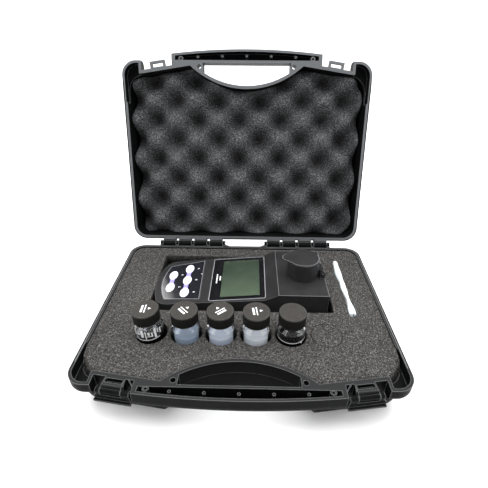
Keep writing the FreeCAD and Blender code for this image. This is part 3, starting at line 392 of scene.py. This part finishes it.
MATERIALS = {
    # the rim tone is a painted highlight, far paler on the lid, whose rim faces the light
    "case_plastic": case_plastic("case_plastic", Vector((0, 0, 1)), (0.021, 0.0215, 0.022)),
    "lid_plastic": case_plastic("lid_plastic", LID_UP, (0.105, 0.110, 0.116)),
    "meter_plastic": meter_plastic(),
    "hinge_steel": brushed("hinge_steel", (0.52, 0.52, 0.54)),
    "screw_steel": brushed("screw_steel", (0.48, 0.48, 0.48)),
    "contact": brushed("contact", (0.72, 0.72, 0.70)),
    "base_foam": foam("base_foam", *FOAM_TONES, shade=FOAM_SHADE),
    "plug_foam": foam("plug_foam", *FOAM_TONES),
    "lid_foam": foam("lid_foam", (0.056, 0.0575, 0.060), (0.086, 0.088, 0.092), (0.240, 0.244, 0.250),
                     (0.010, 0.010, 0.011), shade=LID_SHADE),
    "clear_glass": glass("clear_glass", (0.96, 0.98, 1.0)),
    "clear_liquid": glass("clear_liquid", (0.93, 0.96, 0.97)),
    "milky_liquid_2": milky("milky_liquid_2", (0.42, 0.50, 0.62)),
    "milky_liquid_3": milky("milky_liquid_3", (0.74, 0.80, 0.92)),
    "milky_liquid_4": milky("milky_liquid_4", (0.90, 0.93, 1.0)),
    "cap_plastic": cap_plastic(),
    "liner": plain("liner", (0.75, 0.74, 0.70), 0.7),
    "gloss_black": plain("gloss_black", (0.006, 0.006, 0.007), 0.10, grain=300, bump=0.01,
                         Coat_Weight=0.6, Coat_Roughness=0.04),
    "window": glass("window_clear", (0.93, 0.97, 0.93)),
    "lcd": lcd_screen(),
    "key_white": plain("key_white", (0.80, 0.79, 0.88), 0.30, grain=500, bump=0.04, spread=0.05),
    "seal_rubber": plain("seal_rubber", (0.012, 0.012, 0.012), 0.7),
    "lamp": plain("lamp", (0.80, 0.80, 0.72), 0.15),
    "detector": plain("detector", (0.03, 0.03, 0.05), 0.2),
    "board_green": plain("board_green", (0.02, 0.14, 0.06), 0.35, grain=400),
    "cell": plain("cell", (0.04, 0.07, 0.22), 0.3, grain=300),
    "cloth_white": woven("cloth_white"),
    "film_gloss": film_gloss(),
    "print_white": plain("print_white", (0.78, 0.79, 0.80), 0.5, spread=0.05),
    "print_lilac": plain("print_lilac", (0.30, 0.26, 0.72), 0.35, spread=0.1),
    # print_grey also paints highlight lines along the meter's edges besides the key dots, and print_silver only
    # such a painted highlight line
    "print_grey": plain("print_grey", (0.20, 0.205, 0.215), 0.4, spread=0.1),
    "print_silver": plain("print_silver", (0.42, 0.43, 0.45), 0.3, spread=0.1),
    # the rim's pale bead line is a painted highlight, and dark_void is used for its groove line of painted shade
    "print_bead": plain("print_bead", (0.13, 0.132, 0.135), 0.5, grain=2500, bump=0.2),
    "dark_void": plain("dark_void", (0.004, 0.004, 0.004), 0.9),
}


# ------------------------------------------------------------------ mesh helpers


def new_piece(name, mesh, material, body):
    """Links a mesh to the scene with one material and lets it ride on a CAD body."""
    piece = bpy.data.objects.new(name, mesh)
    bpy.context.scene.collection.objects.link(piece)
    mesh.materials.clear()
    mesh.materials.append(MATERIALS[material])
    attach(piece, body)
    return piece


def mesh_from(name, points, faces, smooth=True):
    mesh = bpy.data.meshes.new(name)
    mesh.from_pydata([tuple(p) for p in points], [], faces)
    mesh.validate()
    mesh.update()
    for polygon in mesh.polygons:
        polygon.use_smooth = smooth
    return mesh


def prism(outline, place, height):
    """A thin plate with the given plane outline, its foot on the plane that place sets."""
    count = len(outline)
    points = [place @ Vector((x, y, 0.0)) for x, y in outline]
    points += [place @ Vector((x, y, height)) for x, y in outline]
    faces = [tuple(range(count - 1, -1, -1)), tuple(range(count, 2 * count))]
    faces += [(i, (i + 1) % count, (i + 1) % count + count, i + count) for i in range(count)]
    return points, faces


def join_shapes(shapes):
    """Joins (points, faces) pairs into one pair."""
    points = []
    faces = []
    for more_points, more_faces in shapes:
        start = len(points)
        points += more_points
        faces += [tuple(i + start for i in face) for face in more_faces]
    return points, faces


def remeshed(name, node, voxel, place=None):
    """A copy of a CAD node's mesh with an even, fine grid of faces, in the frame that place undoes."""
    scratch = bpy.data.objects.new(name + "_scratch", NODES[node].data.copy())
    bpy.context.scene.collection.objects.link(scratch)
    if place is not None:
        scratch.data.transform(place.inverted())
    grid = scratch.modifiers.new("grid", "REMESH")
    grid.mode = "VOXEL"
    grid.voxel_size = voxel
    grid.use_smooth_shade = True
    graph = bpy.context.evaluated_depsgraph_get()
    mesh = bpy.data.meshes.new_from_object(scratch.evaluated_get(graph))
    mesh.name = name
    bpy.data.objects.remove(scratch)
    return mesh


# ------------------------------------------------------------------ outlines that follow the edge of a CAD face


def longest_boundary(mesh, chosen):
    """The longest closed boundary of the chosen faces, as points in order."""
    inside = set(chosen)
    after = {}
    for face in chosen:
        for loop in face.loops:
            if not any(f in inside for f in loop.edge.link_faces if f is not face):
                after.setdefault(loop.vert.index, []).append(loop.link_loop_next.vert.index)
    mesh.verts.ensure_lookup_table()
    loops = []
    while after:
        start = next(iter(after))
        chain = [start]
        while chain[-1] in after:
            following = after[chain[-1]]
            step = following.pop()
            if not following:
                del after[chain[-1]]
            if step == start:
                break
            chain.append(step)
        loops.append([mesh.verts[i].co.copy() for i in chain])
    return max(loops, key=lambda points: sum((a - b).length for a, b in zip(points, points[1:] + points[:1])))


def face_outline(node, normal, tolerance=0.9995):
    """The longest boundary of a node's widest plane that faces the normal, as points in order."""
    mesh = bmesh.new()
    mesh.from_mesh(NODES[node].data)
    bmesh.ops.remove_doubles(mesh, verts=mesh.verts, dist=WELD)
    normal = Vector(normal).normalized()
    facing = [f for f in mesh.faces if f.normal.dot(normal) > tolerance]
    areas = {}
    for face in facing:
        level = round(face.calc_center_median().dot(normal), 4)
        areas[level] = areas.get(level, 0.0) + face.calc_area()
    widest = max(areas, key=areas.get)
    chosen = [f for f in facing if abs(f.calc_center_median().dot(normal) - widest) < 0.00012]
    outline = longest_boundary(mesh, chosen)
    mesh.free()
    return outline


def even_points(points, step):
    """The closed outline, cut into steps of about one length."""
    out = []
    for a, b in zip(points, points[1:] + points[:1]):
        count = max(1, round((b - a).length / step))
        out += [a.lerp(b, i / count) for i in range(count)]
    return out


def ring_strip(points, normal, inset, width, lift, keep=None, soften=4):
    """A flat strip that runs inside a closed outline. keep says which points it passes."""
    normal = Vector(normal).normalized()
    count = len(points)
    sides = []
    for i, point in enumerate(points):
        along = (points[(i + 1) % count] - points[i - 1]).normalized()
        sides.append(normal.cross(along))
    for _ in range(soften):
        sides = [(sides[i - 1] + sides[i] * 2 + sides[(i + 1) % count]).normalized() for i in range(count)]
    strip = []
    for point, side in zip(points, sides):
        strip.append(point + side * inset + normal * lift)
        strip.append(point + side * (inset + width) + normal * lift)
    faces = []
    for i in range(count):
        j = (i + 1) % count
        if keep is None or (keep(points[i]) and keep(points[j])):
            faces.append((2 * i, 2 * j, 2 * j + 1, 2 * i + 1))
    return strip, faces


# ------------------------------------------------------------------ materials of the CAD nodes

for node_name, node in NODES.items():
    for slot in node.material_slots:
        kind = slot.material.name.split(".")[0]
        slot.material = MATERIALS[kind]
NODES["keypad_membrane"].material_slots[0].material = MATERIALS["film_gloss"]
NODES["lid_shell"].material_slots[0].material = MATERIALS["lid_plastic"]


# ------------------------------------------------------------------ lid foam: egg-crate sheet

CEILING = 0.0392           # depth of the lid's ceiling above the rim plane
PEAK_PITCH = 0.0505        # between peaks of one row
FIRST_PEAK = -0.1100       # x of a peak of the first row
FIRST_ROW = -0.0632        # y of the first row
ROW_STEP = 0.0219          # between the first two rows
ROW_GROWTH = 0.00033       # how much the step grows from row to row
HOLLOW = 0.40              # a hollow's share of the foam's full thickness
WOBBLE = 0.035             # how far that share wanders from place to place
GRAIN = 0.00022            # size of the cut cells on its face
FREE_DEPTH = 0.012         # from this far off the ceiling the foam is free to bulge
PULL_IN = 0.012            # how much the sides draw in between peaks


def crate_wave(x, y):
    """From -1 in a hollow to 1 on a peak; alternate rows stand half a pitch apart."""
    under = max(0.0, ROW_STEP ** 2 + 4 * ROW_GROWTH * (y - FIRST_ROW))
    row = (math.sqrt(under) - ROW_STEP) / (2 * ROW_GROWTH)
    across = math.cos(2 * math.pi * (x - FIRST_PEAK) / PEAK_PITCH)
    return across * math.cos(math.pi * row)


def make_lid_foam():
    """The lid's foam with its egg-crate face. The mesh is shaped in the shut lid's frame, then turned open."""
    mesh = remeshed("lid_foam_crate", "lid_foam", 0.0015, LID)
    for vertex in mesh.vertices:
        x, y, d = vertex.co
        wave = crate_wave(x, y)
        share = HOLLOW + (1 - HOLLOW) * (0.5 + 0.5 * wave) ** 0.9
        share += WOBBLE * noise.noise(Vector((x, y, 0.0)) * 38.0)
        depth = CEILING - (CEILING - d) * min(1.0, share)
        grain = noise.noise(vertex.co * 900.0) * GRAIN
        free = min(1.0, max(0.0, (CEILING - d) / FREE_DEPTH))
        inward = 1.0 - PULL_IN * (1.0 - wave) * free
        vertex.co = (x * inward + grain * free, y + grain * free, depth + grain * free)
    mesh.transform(LID)
    mesh.update()
    piece = new_piece("lid_foam_crate", mesh, "lid_foam", "lid")
    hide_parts("lid_foam")
    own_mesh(piece)


# ------------------------------------------------------------------ base foam and its plug


def roughen(mesh, amount, scale=700.0):
    """Pushes each vertex a little at random, as cut open-cell foam stands."""
    for vertex in mesh.vertices:
        push = noise.noise_vector(vertex.co * scale)
        slow = noise.noise(vertex.co * 60.0)
        vertex.co += push * amount + Vector((0, 0, slow * amount))
    mesh.update()


def top_edge_finder(keep):
    """A search tree of the points on the base foam's top edge that keep passes, flattened to z = 0."""
    outline = [p for p in even_points(face_outline("base_foam", (0, 0, 1)), 0.001) if keep(p)]
    tree = kdtree.KDTree(len(outline))
    for i, point in enumerate(outline):
        tree.insert((point.x, point.y, 0.0), i)
    tree.balance()
    return tree


TOP_LAYER = 0.012          # only this much of the foam's height is reshaped
EDGE_ROLL = 0.0042         # how far in from the foam's front edge its top is rolled down
EDGE_DROP = 0.0090
EDGE_PULL = 0.0008


def roll_front_edge(mesh):
    """Rounds the foam's top down to the rim along the front, where it was cut small and pressed in."""
    tree = top_edge_finder(lambda p: p.y < FRONT + 0.030)
    for vertex in mesh.vertices:
        if vertex.co.z < FOAM_TOP - TOP_LAYER or vertex.co.y > FRONT + 0.040:
            continue
        near, _, gap = tree.find((vertex.co.x, vertex.co.y, 0.0))
        if gap < EDGE_ROLL:
            share = (1 - gap / EDGE_ROLL) ** 1.4
            sheen_fade = min(1.0, max(0.0, (FRONT + 0.034 - vertex.co.y) / 0.010))
            depth = 1 - (FOAM_TOP - vertex.co.z) / TOP_LAYER
            vertex.co.z -= EDGE_DROP * share * sheen_fade * max(0.0, depth)
            inward = Vector((vertex.co.x - near[0], vertex.co.y - near[1], 0.0))
            if inward.length > 1e-5:
                vertex.co += inward.normalized() * EDGE_PULL * share * sheen_fade


WALL_REACH = 0.020         # how far in from the sides and back the foam swells up against the wall
WALL_LIFT = 0.0034
WALL_PUSH = 0.0011
PUSH_REACH = 0.004         # how far in from the wall the push is felt
SIDE_X = 0.134             # beyond this the foam's edge is at the case's side
BACK_Y = 0.090             # and beyond this at its back


def swell_at_walls(mesh):
    """Lifts and widens the foam where it is squeezed between the case's sides and back."""
    tree = top_edge_finder(lambda p: p.y > FRONT + 0.012)
    for vertex in mesh.vertices:
        if vertex.co.z < FOAM_TOP - TOP_LAYER:
            continue
        near, _, gap = tree.find((vertex.co.x, vertex.co.y, 0.0))
        if gap < WALL_REACH:
            share = (1 - gap / WALL_REACH) ** 2
            sheen_fade = min(1.0, max(0.0, (vertex.co.y - FRONT - 0.012) / 0.030))
            depth = max(0.0, 1 - (FOAM_TOP - vertex.co.z) / TOP_LAYER)
            vertex.co.z += WALL_LIFT * share * sheen_fade * depth
            if gap < PUSH_REACH:
                sideways = math.copysign(1.0, near[0]) if abs(near[0]) > SIDE_X else near[0] / 0.6
                outward = Vector((sideways, 1.0 if near[1] > BACK_Y else 0.0, 0.0))
                vertex.co += outward.normalized() * WALL_PUSH * sheen_fade * depth * (1 - gap / PUSH_REACH)


PLUG_GROWTH = 0.00014      # the plug is still held by its kiss cut, so its slit is nearly shut
PLUG_CORE = 0.010          # within this radius its vertices stay


def make_base_foam():
    foam_mesh = remeshed("base_foam_cut", "base_foam", 0.0010)
    swell_at_walls(foam_mesh)
    roll_front_edge(foam_mesh)
    roughen(foam_mesh, 0.00018)
    piece = new_piece("base_foam_cut", foam_mesh, "base_foam", "base")
    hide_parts("base_foam")
    plug_mesh = remeshed("foam_plug_cut", "foam_plug", 0.0006)
    middle = (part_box("foam_plug")[0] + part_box("foam_plug")[1]) / 2
    for vertex in plug_mesh.vertices:
        side = Vector((vertex.co.x - middle.x, vertex.co.y - middle.y, 0.0))
        if side.length > PLUG_CORE:
            vertex.co += side.normalized() * PLUG_GROWTH
    roughen(plug_mesh, 0.00015)
    plug = new_piece("foam_plug_cut", plug_mesh, "plug_foam", "plug")
    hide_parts("foam_plug")


# ------------------------------------------------------------------ lines of the rims

# name, inset from the rim's outer edge, width, material
# the groove line is painted shade and the bead line a painted highlight
RIM_LINES = (("groove", 0.0002, 0.0013, "dark_void"), ("bead", 0.0016, 0.0005, "print_bead"))
RIM_LIFT = 0.0001          # the lines stand this far off the rim plane
ON_RIM = 0.0001            # a face this close to the rim plane belongs to it


def on_case_rim(point):
    """True along the sides and back of the case, where the rim is one plain edge."""
    return point.y > FRONT + 0.020


def make_rims():
    """The rim of each shell: a dark line of painted shade for a groove, beside a paler line of painted highlight
    for a bead.
    """
    places = (("base", "base_shell", Matrix.Identity(4)), ("lid", "lid_shell", LID))
    for body, node, place in places:
        up = Vector((0, 0, 1)) if body == "base" else LID_UP
        outline = even_points(rim_plane_outline(node, up), 0.002)
        shut = place.inverted()
        for label, inset, width, colour in RIM_LINES:
            points, faces = ring_strip(outline, up, inset, width, RIM_LIFT,
                                       keep=lambda p, shut=shut: on_case_rim(shut @ p))
            name = f"{body}_rim_{label}"
            new_piece(name, mesh_from(name, points, faces, False), colour, body)


def rim_plane_outline(node, up):
    """The outer edge of a shell's rim plane. The hinge plates stand off it, so the plane is given."""
    mesh = bmesh.new()
    mesh.from_mesh(NODES[node].data)
    bmesh.ops.remove_doubles(mesh, verts=mesh.verts, dist=WELD)
    origin = Vector((0, HINGE_Y, RIM))
    chosen = [f for f in mesh.faces
              if f.normal.dot(up) > 0.9995 and abs((f.calc_center_median() - origin).dot(up)) < ON_RIM]
    outline = longest_boundary(mesh, chosen)
    mesh.free()
    return outline


# ------------------------------------------------------------------ prints on the caps, vials and meter, and painted highlight lines on its edges


LEANING_FOOT = (-0.0831, 0.0059)       # x and z of vial 1's foot
LEAN = math.radians(-3.0)              # it leans in its hole


def vial_place(number):
    """The frame at the foot of a vial, along its own axis."""
    low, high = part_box(f"vial_glass_{number}")
    middle = (low + high) / 2
    if number > 1:
        return Matrix.Translation((middle.x, middle.y, low.z))
    x, z = LEANING_FOOT
    return Matrix.Translation((x, middle.y, z)) @ Matrix.Rotation(LEAN, 4, "Y")


CAP_TOP = 0.0630           # above the vial's foot
PRINT = 0.00008            # thickness of the caps' print
FILM_PRINT = 0.00006       # of the keypad's
MARK_PRINT = 0.00005       # and of the marks on the keys and beside the display
CAP_TURN = {1: 0.0, 2: 45.0, 3: 130.0, 4: 8.0}     # degrees the print of each cap is turned by


def bar(x, y, width, length):
    return [(x - width / 2, y - length / 2), (x + width / 2, y - length / 2),
            (x + width / 2, y + length / 2), (x - width / 2, y + length / 2)]


def dashes(x, width, lengths, gap=0.00035):
    """A broken bar along y, centred on the middle of its length."""
    total = sum(lengths) + gap * (len(lengths) - 1)
    y = -total / 2
    out = []
    for length in lengths:
        out.append(bar(x, y + length / 2, width, length))
        y += length + gap
    return out


def make_cap_prints():
    """Two broken bars and a triangle on each labelled cap."""
    for number, turn in CAP_TURN.items():
        place = vial_place(number) @ Matrix.Translation((0, 0, CAP_TOP))
        place = place @ Matrix.Rotation(math.radians(turn), 4, "Z")
        outlines = dashes(-0.0026, 0.0019, (0.0022, 0.0017, 0.0024, 0.0015))
        outlines += dashes(0.0003, 0.0010, (0.0038, 0.0031, 0.0026))
        outlines.append([(0.0032, -0.0013), (0.0058, 0.0002), (0.0030, 0.0016)])
        points, faces = join_shapes([prism(outline, place, PRINT) for outline in outlines])
        name = f"cap_{number}_print"
        new_piece(name, mesh_from(name, points, faces, False), "print_white", f"cap_{number}")


def wrapped(place, radius, start, end, low, high, steps=None):
    """A patch on a cylinder, between two angles in degrees and two heights."""
    steps = steps or max(2, int(abs(end - start) / 4))
    points = []
    for i in range(steps + 1):
        turn = math.radians(start + (end - start) * i / steps)
        for z in (low, high):
            points.append(place @ Vector((radius * math.cos(turn), radius * math.sin(turn), z)))
    faces = [(2 * i, 2 * i + 2, 2 * i + 3, 2 * i + 1) for i in range(steps)]
    return points, faces


GLASS = 0.01283            # just outside the vial's wall
TICK_WIDTHS = (7, 4, 10, 3, 6, 12, 4, 8, 5, 9, 3, 7)       # degrees
TICK_START = -172.0
TICK_GAP = 6.5


def make_vial_prints():
    """Vial 1 has a band of upright bars and dashes, and vial 5 a filling line with its pointer."""
    ticks = []
    place = vial_place(1)
    angle = TICK_START
    for i, width in enumerate(TICK_WIDTHS):
        low = 0.0375 + 0.0022 * ((i * 5) % 3)
        high = 0.0445 + 0.0012 * ((i * 7) % 4)
        ticks.append(wrapped(place, GLASS, angle, angle + width, low, high))
        angle += width + TICK_GAP
    ticks.append(wrapped(place, GLASS, -150, -32, 0.0360, 0.0369))
    ticks.append(wrapped(place, GLASS, -128, -104, 0.0432, 0.0441))
    ticks.append(wrapped(place, GLASS, -84, -60, 0.0402, 0.0411))
    points, faces = join_shapes(ticks)
    new_piece("vial_1_print", mesh_from("vial_1_print", points, faces), "print_white", "vial_1")
    place = vial_place(5)
    ring = [wrapped(place, GLASS, 0, 360, 0.0362, 0.0370, 72)]
    index = [place @ Vector((GLASS * math.cos(math.radians(a)), GLASS * math.sin(math.radians(a)), z))
             for a, z in ((-62, 0.0372), (-42, 0.0372), (-47, 0.0338))]
    ring.append((index, [(0, 1, 2)]))
    points, faces = join_shapes(ring)
    new_piece("vial_5_print", mesh_from("vial_5_print", points, faces), "print_white", "vial_5")


def face_place(node):
    """The meter's sloping face: its origin at the node's right-hand edge, x up the slope, z out."""
    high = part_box(node)[1]
    return Matrix.Translation((high.x, METER_Y, high.z)) @ Matrix.Rotation(-FACE_TILT, 4, "Y")


def ellipse(x, y, half_x, half_y, count=28):
    return [(x + half_x * math.cos(2 * math.pi * i / count), y + half_y * math.sin(2 * math.pi * i / count))
            for i in range(count)]


KEY_COLUMNS = ((1, 2), (3, 4, 5))


def make_keypad_prints():
    """Lilac necks between the keys, a dot on each key and dashes beside it."""
    place = face_place("keypad_membrane")
    flat = place.inverted()
    keys = {n: flat @ ((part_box(f"key_{n}")[0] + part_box(f"key_{n}")[1]) / 2) for n in range(1, 6)}
    necks = []
    labels = []
    for column in KEY_COLUMNS:
        for upper, lower in zip(column, column[1:]):
            a, b = keys[upper], keys[lower]
            middle = (a + b) / 2
            neck = [(a.x - 0.0034, a.y), (middle.x - 0.0022, middle.y), (b.x - 0.0034, b.y),
                    (b.x + 0.0034, b.y), (middle.x + 0.0022, middle.y), (a.x + 0.0034, a.y)]
            if a.y < b.y:
                neck.reverse()
            necks.append(prism(neck, place, FILM_PRINT))
        for number in column:
            x, row = keys[number].x, keys[number].y
            for shift, size in ((0.0, 0.0022), (0.0013, 0.0012)):
                label = [(x + 0.0092 + shift, row - size / 2 + 0.0004), (x + 0.0099 + shift, row - size / 2),
                         (x + 0.0099 + shift, row + size / 2), (x + 0.0092 + shift, row + size / 2 - 0.0002)]
                labels.append(prism(label, place, FILM_PRINT))
            key_top = place @ Matrix.Translation((0, 0, 0.00026))
            dot = prism(ellipse(x, row, 0.0004, 0.0005, 12), key_top, MARK_PRINT)
            name = f"key_{number}_mark"
            new_piece(name, mesh_from(name, *dot, False), "print_grey", f"key_{number}_pad")
    points, faces = join_shapes(necks)
    new_piece("key_necks", mesh_from("key_necks", points, faces, False), "print_lilac", "meter")
    labels.append(prism(ellipse(-0.0030, 0.0105, 0.0006, 0.0007, 12), place, FILM_PRINT))
    points, faces = join_shapes(labels)
    new_piece("key_labels", mesh_from("key_labels", points, faces, False), "print_white", "meter")


def make_face_outlines():
    """Bright lines where the moulded edges of the meter's faces catch the light."""
    slope = face_place("keypad_membrane").to_3x3() @ Vector((0, 0, 1))
    up = Vector((0, 0, 1))
    # node, direction of its face, inset, width, material, body, last part of the name
    # these edge lines are painted highlights
    lines = (("keypad_membrane", slope, 0.0006, 0.0005, "print_grey", "meter", "line"),
             ("display_bezel", slope, 0.0003, 0.0004, "print_silver", "meter", "line"),
             ("chamber_cover", up, 0.0001, 0.0003, "print_grey", "cover", "edge"),
             ("meter_upper_housing", up, 0.0, 0.0003, "print_grey", "meter", "high_edge"),
             ("meter_upper_housing", slope, 0.0, 0.0003, "print_grey", "meter", "low_edge"))
    for node, normal, inset, width, colour, body, label in lines:
        outline = even_points(face_outline(node, normal, 0.9999), 0.0015)
        keep = (lambda p: p.y < METER_Y + 0.002) if node == "chamber_cover" else None
        points, faces = ring_strip(outline, normal, inset, width, 0.00008, keep, soften=2)
        name = f"{node}_{label}"
        new_piece(name, mesh_from(name, points, faces, False), colour, body)


def make_display_marks():
    """Two broken bars at the left of the display."""
    place = face_place("display_bezel")
    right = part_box("display_bezel")[1].x
    left = (-0.0290 - right) / math.cos(FACE_TILT)
    marks = dashes(left, 0.0013, (0.0030, 0.0022, 0.0036, 0.0026, 0.0030))
    marks += [[(x + 0.0036, y + 0.0004) for x, y in outline]
              for outline in dashes(left, 0.0014, (0.0022, 0.0026, 0.0018))]
    shapes = [prism(outline, place, MARK_PRINT) for outline in marks]
    points, faces = join_shapes(shapes)
    new_piece("display_marks", mesh_from("display_marks", points, faces, False), "print_white", "meter")


# ------------------------------------------------------------------ the wiping cloth

CLOTH_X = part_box("cleaning_cloth")[0].x / 2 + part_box("cleaning_cloth")[1].x / 2
CLOTH_FRONT = -0.0150
CLOTH_BACK = 0.0780
CLOTH_FOOT = 0.0245        # height of its hidden edge in the slit
CLOTH_TOP = 0.0436         # height of its fold
CLOTH_HALF = 0.0030        # half its width across the fold
WAIST_Y = 0.014            # it is pinched and lower here
FOLD_SHARE = 0.34          # share of its half width that turns over the fold


def make_cloth():
    """A cloth folded along its length and pushed, fold upwards, into a slit of the foam."""
    rows = 80
    columns = 44
    points = []
    for i in range(rows + 1):
        t = i / rows
        y = CLOTH_FRONT + (CLOTH_BACK - CLOTH_FRONT) * t
        end_back = max(0.0, (t - 0.95) / 0.05)
        half = CLOTH_HALF - 0.0012 * math.exp(-((y - WAIST_Y) / 0.014) ** 2) + 0.0005 * math.sin(19 * t)
        end_front = max(0.0, (0.025 - t) / 0.025)
        half *= math.sqrt(max(0.004, 1 - end_back ** 2)) * math.sqrt(max(0.004, 1 - end_front ** 2))
        lean = 0.0008 * math.sin(5.2 * t + 0.6)
        top = CLOTH_TOP - 0.0022 * math.exp(-((y - WAIST_Y) / 0.018) ** 2) - 0.002 * end_back ** 2
        for j in range(columns + 1):
            u = 2 * j / columns - 1
            if abs(u) < FOLD_SHARE:
                turn = u / FOLD_SHARE * math.pi / 2
                x, z = half * math.sin(turn), top - half * (1 - math.cos(turn))
            else:
                x = math.copysign(half, u)
                z = top - half - (top - half - CLOTH_FOOT) * (abs(u) - FOLD_SHARE) / (1 - FOLD_SHARE)
            place = Vector((CLOTH_X + x + lean, y, z))
            crumple = noise.noise(place * 130.0) * 0.0004 + noise.noise(place * 420.0) * 0.00015
            points.append(place + Vector((math.copysign(crumple, x) if abs(x) > 1e-5 else 0.0, 0, crumple)))
    across = columns + 1
    faces = [(i * across + j, i * across + j + 1, (i + 1) * across + j + 1, (i + 1) * across + j)
             for i in range(rows) for j in range(columns)]
    cloth = new_piece("wiping_cloth", mesh_from("wiping_cloth", points, faces), "cloth_white", "cloth")
    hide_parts("cleaning_cloth")


# ------------------------------------------------------------------ floor, light and camera


SWEEP_START = 1.4          # y at which the floor begins to curve up
SWEEP_RADIUS = 0.8
FLOOR_GAP = 0.0004         # keeps the floor just clear of the case's underside


def make_floor():
    """A white paper sweep: flat under the case, and curved up behind it."""
    profile = [(-3.0, 0.0), (SWEEP_START, 0.0)]
    steps = 12
    for i in range(1, steps + 1):
        turn = math.radians(90 * i / steps)
        profile.append((SWEEP_START + SWEEP_RADIUS * math.sin(turn), SWEEP_RADIUS - SWEEP_RADIUS * math.cos(turn)))
    profile.append((SWEEP_START + SWEEP_RADIUS, 3.0))
    points = [(x, y, z - FLOOR_GAP) for y, z in profile for x in (-4.0, 4.0)]
    faces = [(2 * i, 2 * i + 1, 2 * i + 3, 2 * i + 2) for i in range(len(profile) - 1)]
    floor_mesh = mesh_from("floor", points, faces)
    floor = bpy.data.objects.new("floor", floor_mesh)
    bpy.context.scene.collection.objects.link(floor)
    s = Shader("floor_white")
    s.link(s.ramp(s.noise(3), [(0.3, 0.93), (0.7, 0.95)]), s.bsdf.inputs["Base Color"])
    s.set(Roughness=0.95, Specular_IOR_Level=0.1)
    floor_mesh.materials.append(s.material)


def area_light(name, place, target, size, power, colour=(1, 1, 1)):
    data = bpy.data.lights.new(name, "AREA")
    data.shape = "RECTANGLE"
    data.size, data.size_y = size
    data.energy = power
    data.color = colour
    light = bpy.data.objects.new(name, data)
    light.location = place
    aim = (Vector(target) - Vector(place)).to_track_quat("-Z", "Y")
    light.rotation_mode = "QUATERNION"
    light.rotation_quaternion = aim
    bpy.context.scene.collection.objects.link(light)


def make_lights():
    world = bpy.data.worlds.new("studio")
    bpy.context.scene.world = world
    world.use_nodes = True
    sky = world.node_tree.nodes["Background"]
    sky.inputs["Color"].default_value = (1.0, 1.0, 1.0, 1.0)
    sky.inputs["Strength"].default_value = 0.62
    centre = (0.0, 0.02, 0.06)
    area_light("top_box", (0.0, 0.05, 1.20), centre, (1.5, 1.2), 26.0)
    area_light("left_box", (-1.1, -0.45, 0.75), centre, (0.8, 0.8), 7.0)
    area_light("right_box", (1.1, -0.35, 0.70), centre, (0.8, 0.8), 6.0)
    area_light("sweep_light", (0.0, 0.9, 1.6), (0.0, 2.0, 0.4), (3.0, 0.8), 40.0)


CAMERA_PLACE = (0.0069, -0.2809, 0.2882)
CAMERA_YAW = math.radians(-1.154)
CAMERA_PITCH = math.radians(31.986)
CAMERA_ROLL = math.radians(0.2547)


def make_camera():
    data = bpy.data.cameras.new("camera")
    data.lens = 26.56
    data.sensor_width = 36.0
    data.clip_start = 0.01
    camera = bpy.data.objects.new("camera", data)
    bpy.context.scene.collection.objects.link(camera)
    yaw, pitch, roll = CAMERA_YAW, CAMERA_PITCH, CAMERA_ROLL
    forward = Vector((math.sin(yaw) * math.cos(pitch), math.cos(yaw) * math.cos(pitch), -math.sin(pitch)))
    right = Vector((math.cos(yaw), -math.sin(yaw), 0.0))
    up = right.cross(forward)
    turned_right = right * math.cos(roll) + up * math.sin(roll)
    turned_up = up * math.cos(roll) - right * math.sin(roll)
    turn = Matrix((turned_right, turned_up, -forward)).transposed().to_4x4()
    camera.matrix_world = Matrix.Translation(CAMERA_PLACE) @ turn
    bpy.context.scene.camera = camera


# ------------------------------------------------------------------ the scene

make_lid_foam()
make_base_foam()
make_rims()
make_cap_prints()
make_vial_prints()
make_keypad_prints()
make_face_outlines()
make_display_marks()
make_cloth()
make_floor()
make_lights()
make_camera()
bpy.context.scene.view_settings.view_transform = "Standard"

bpy.context.view_layer.update()
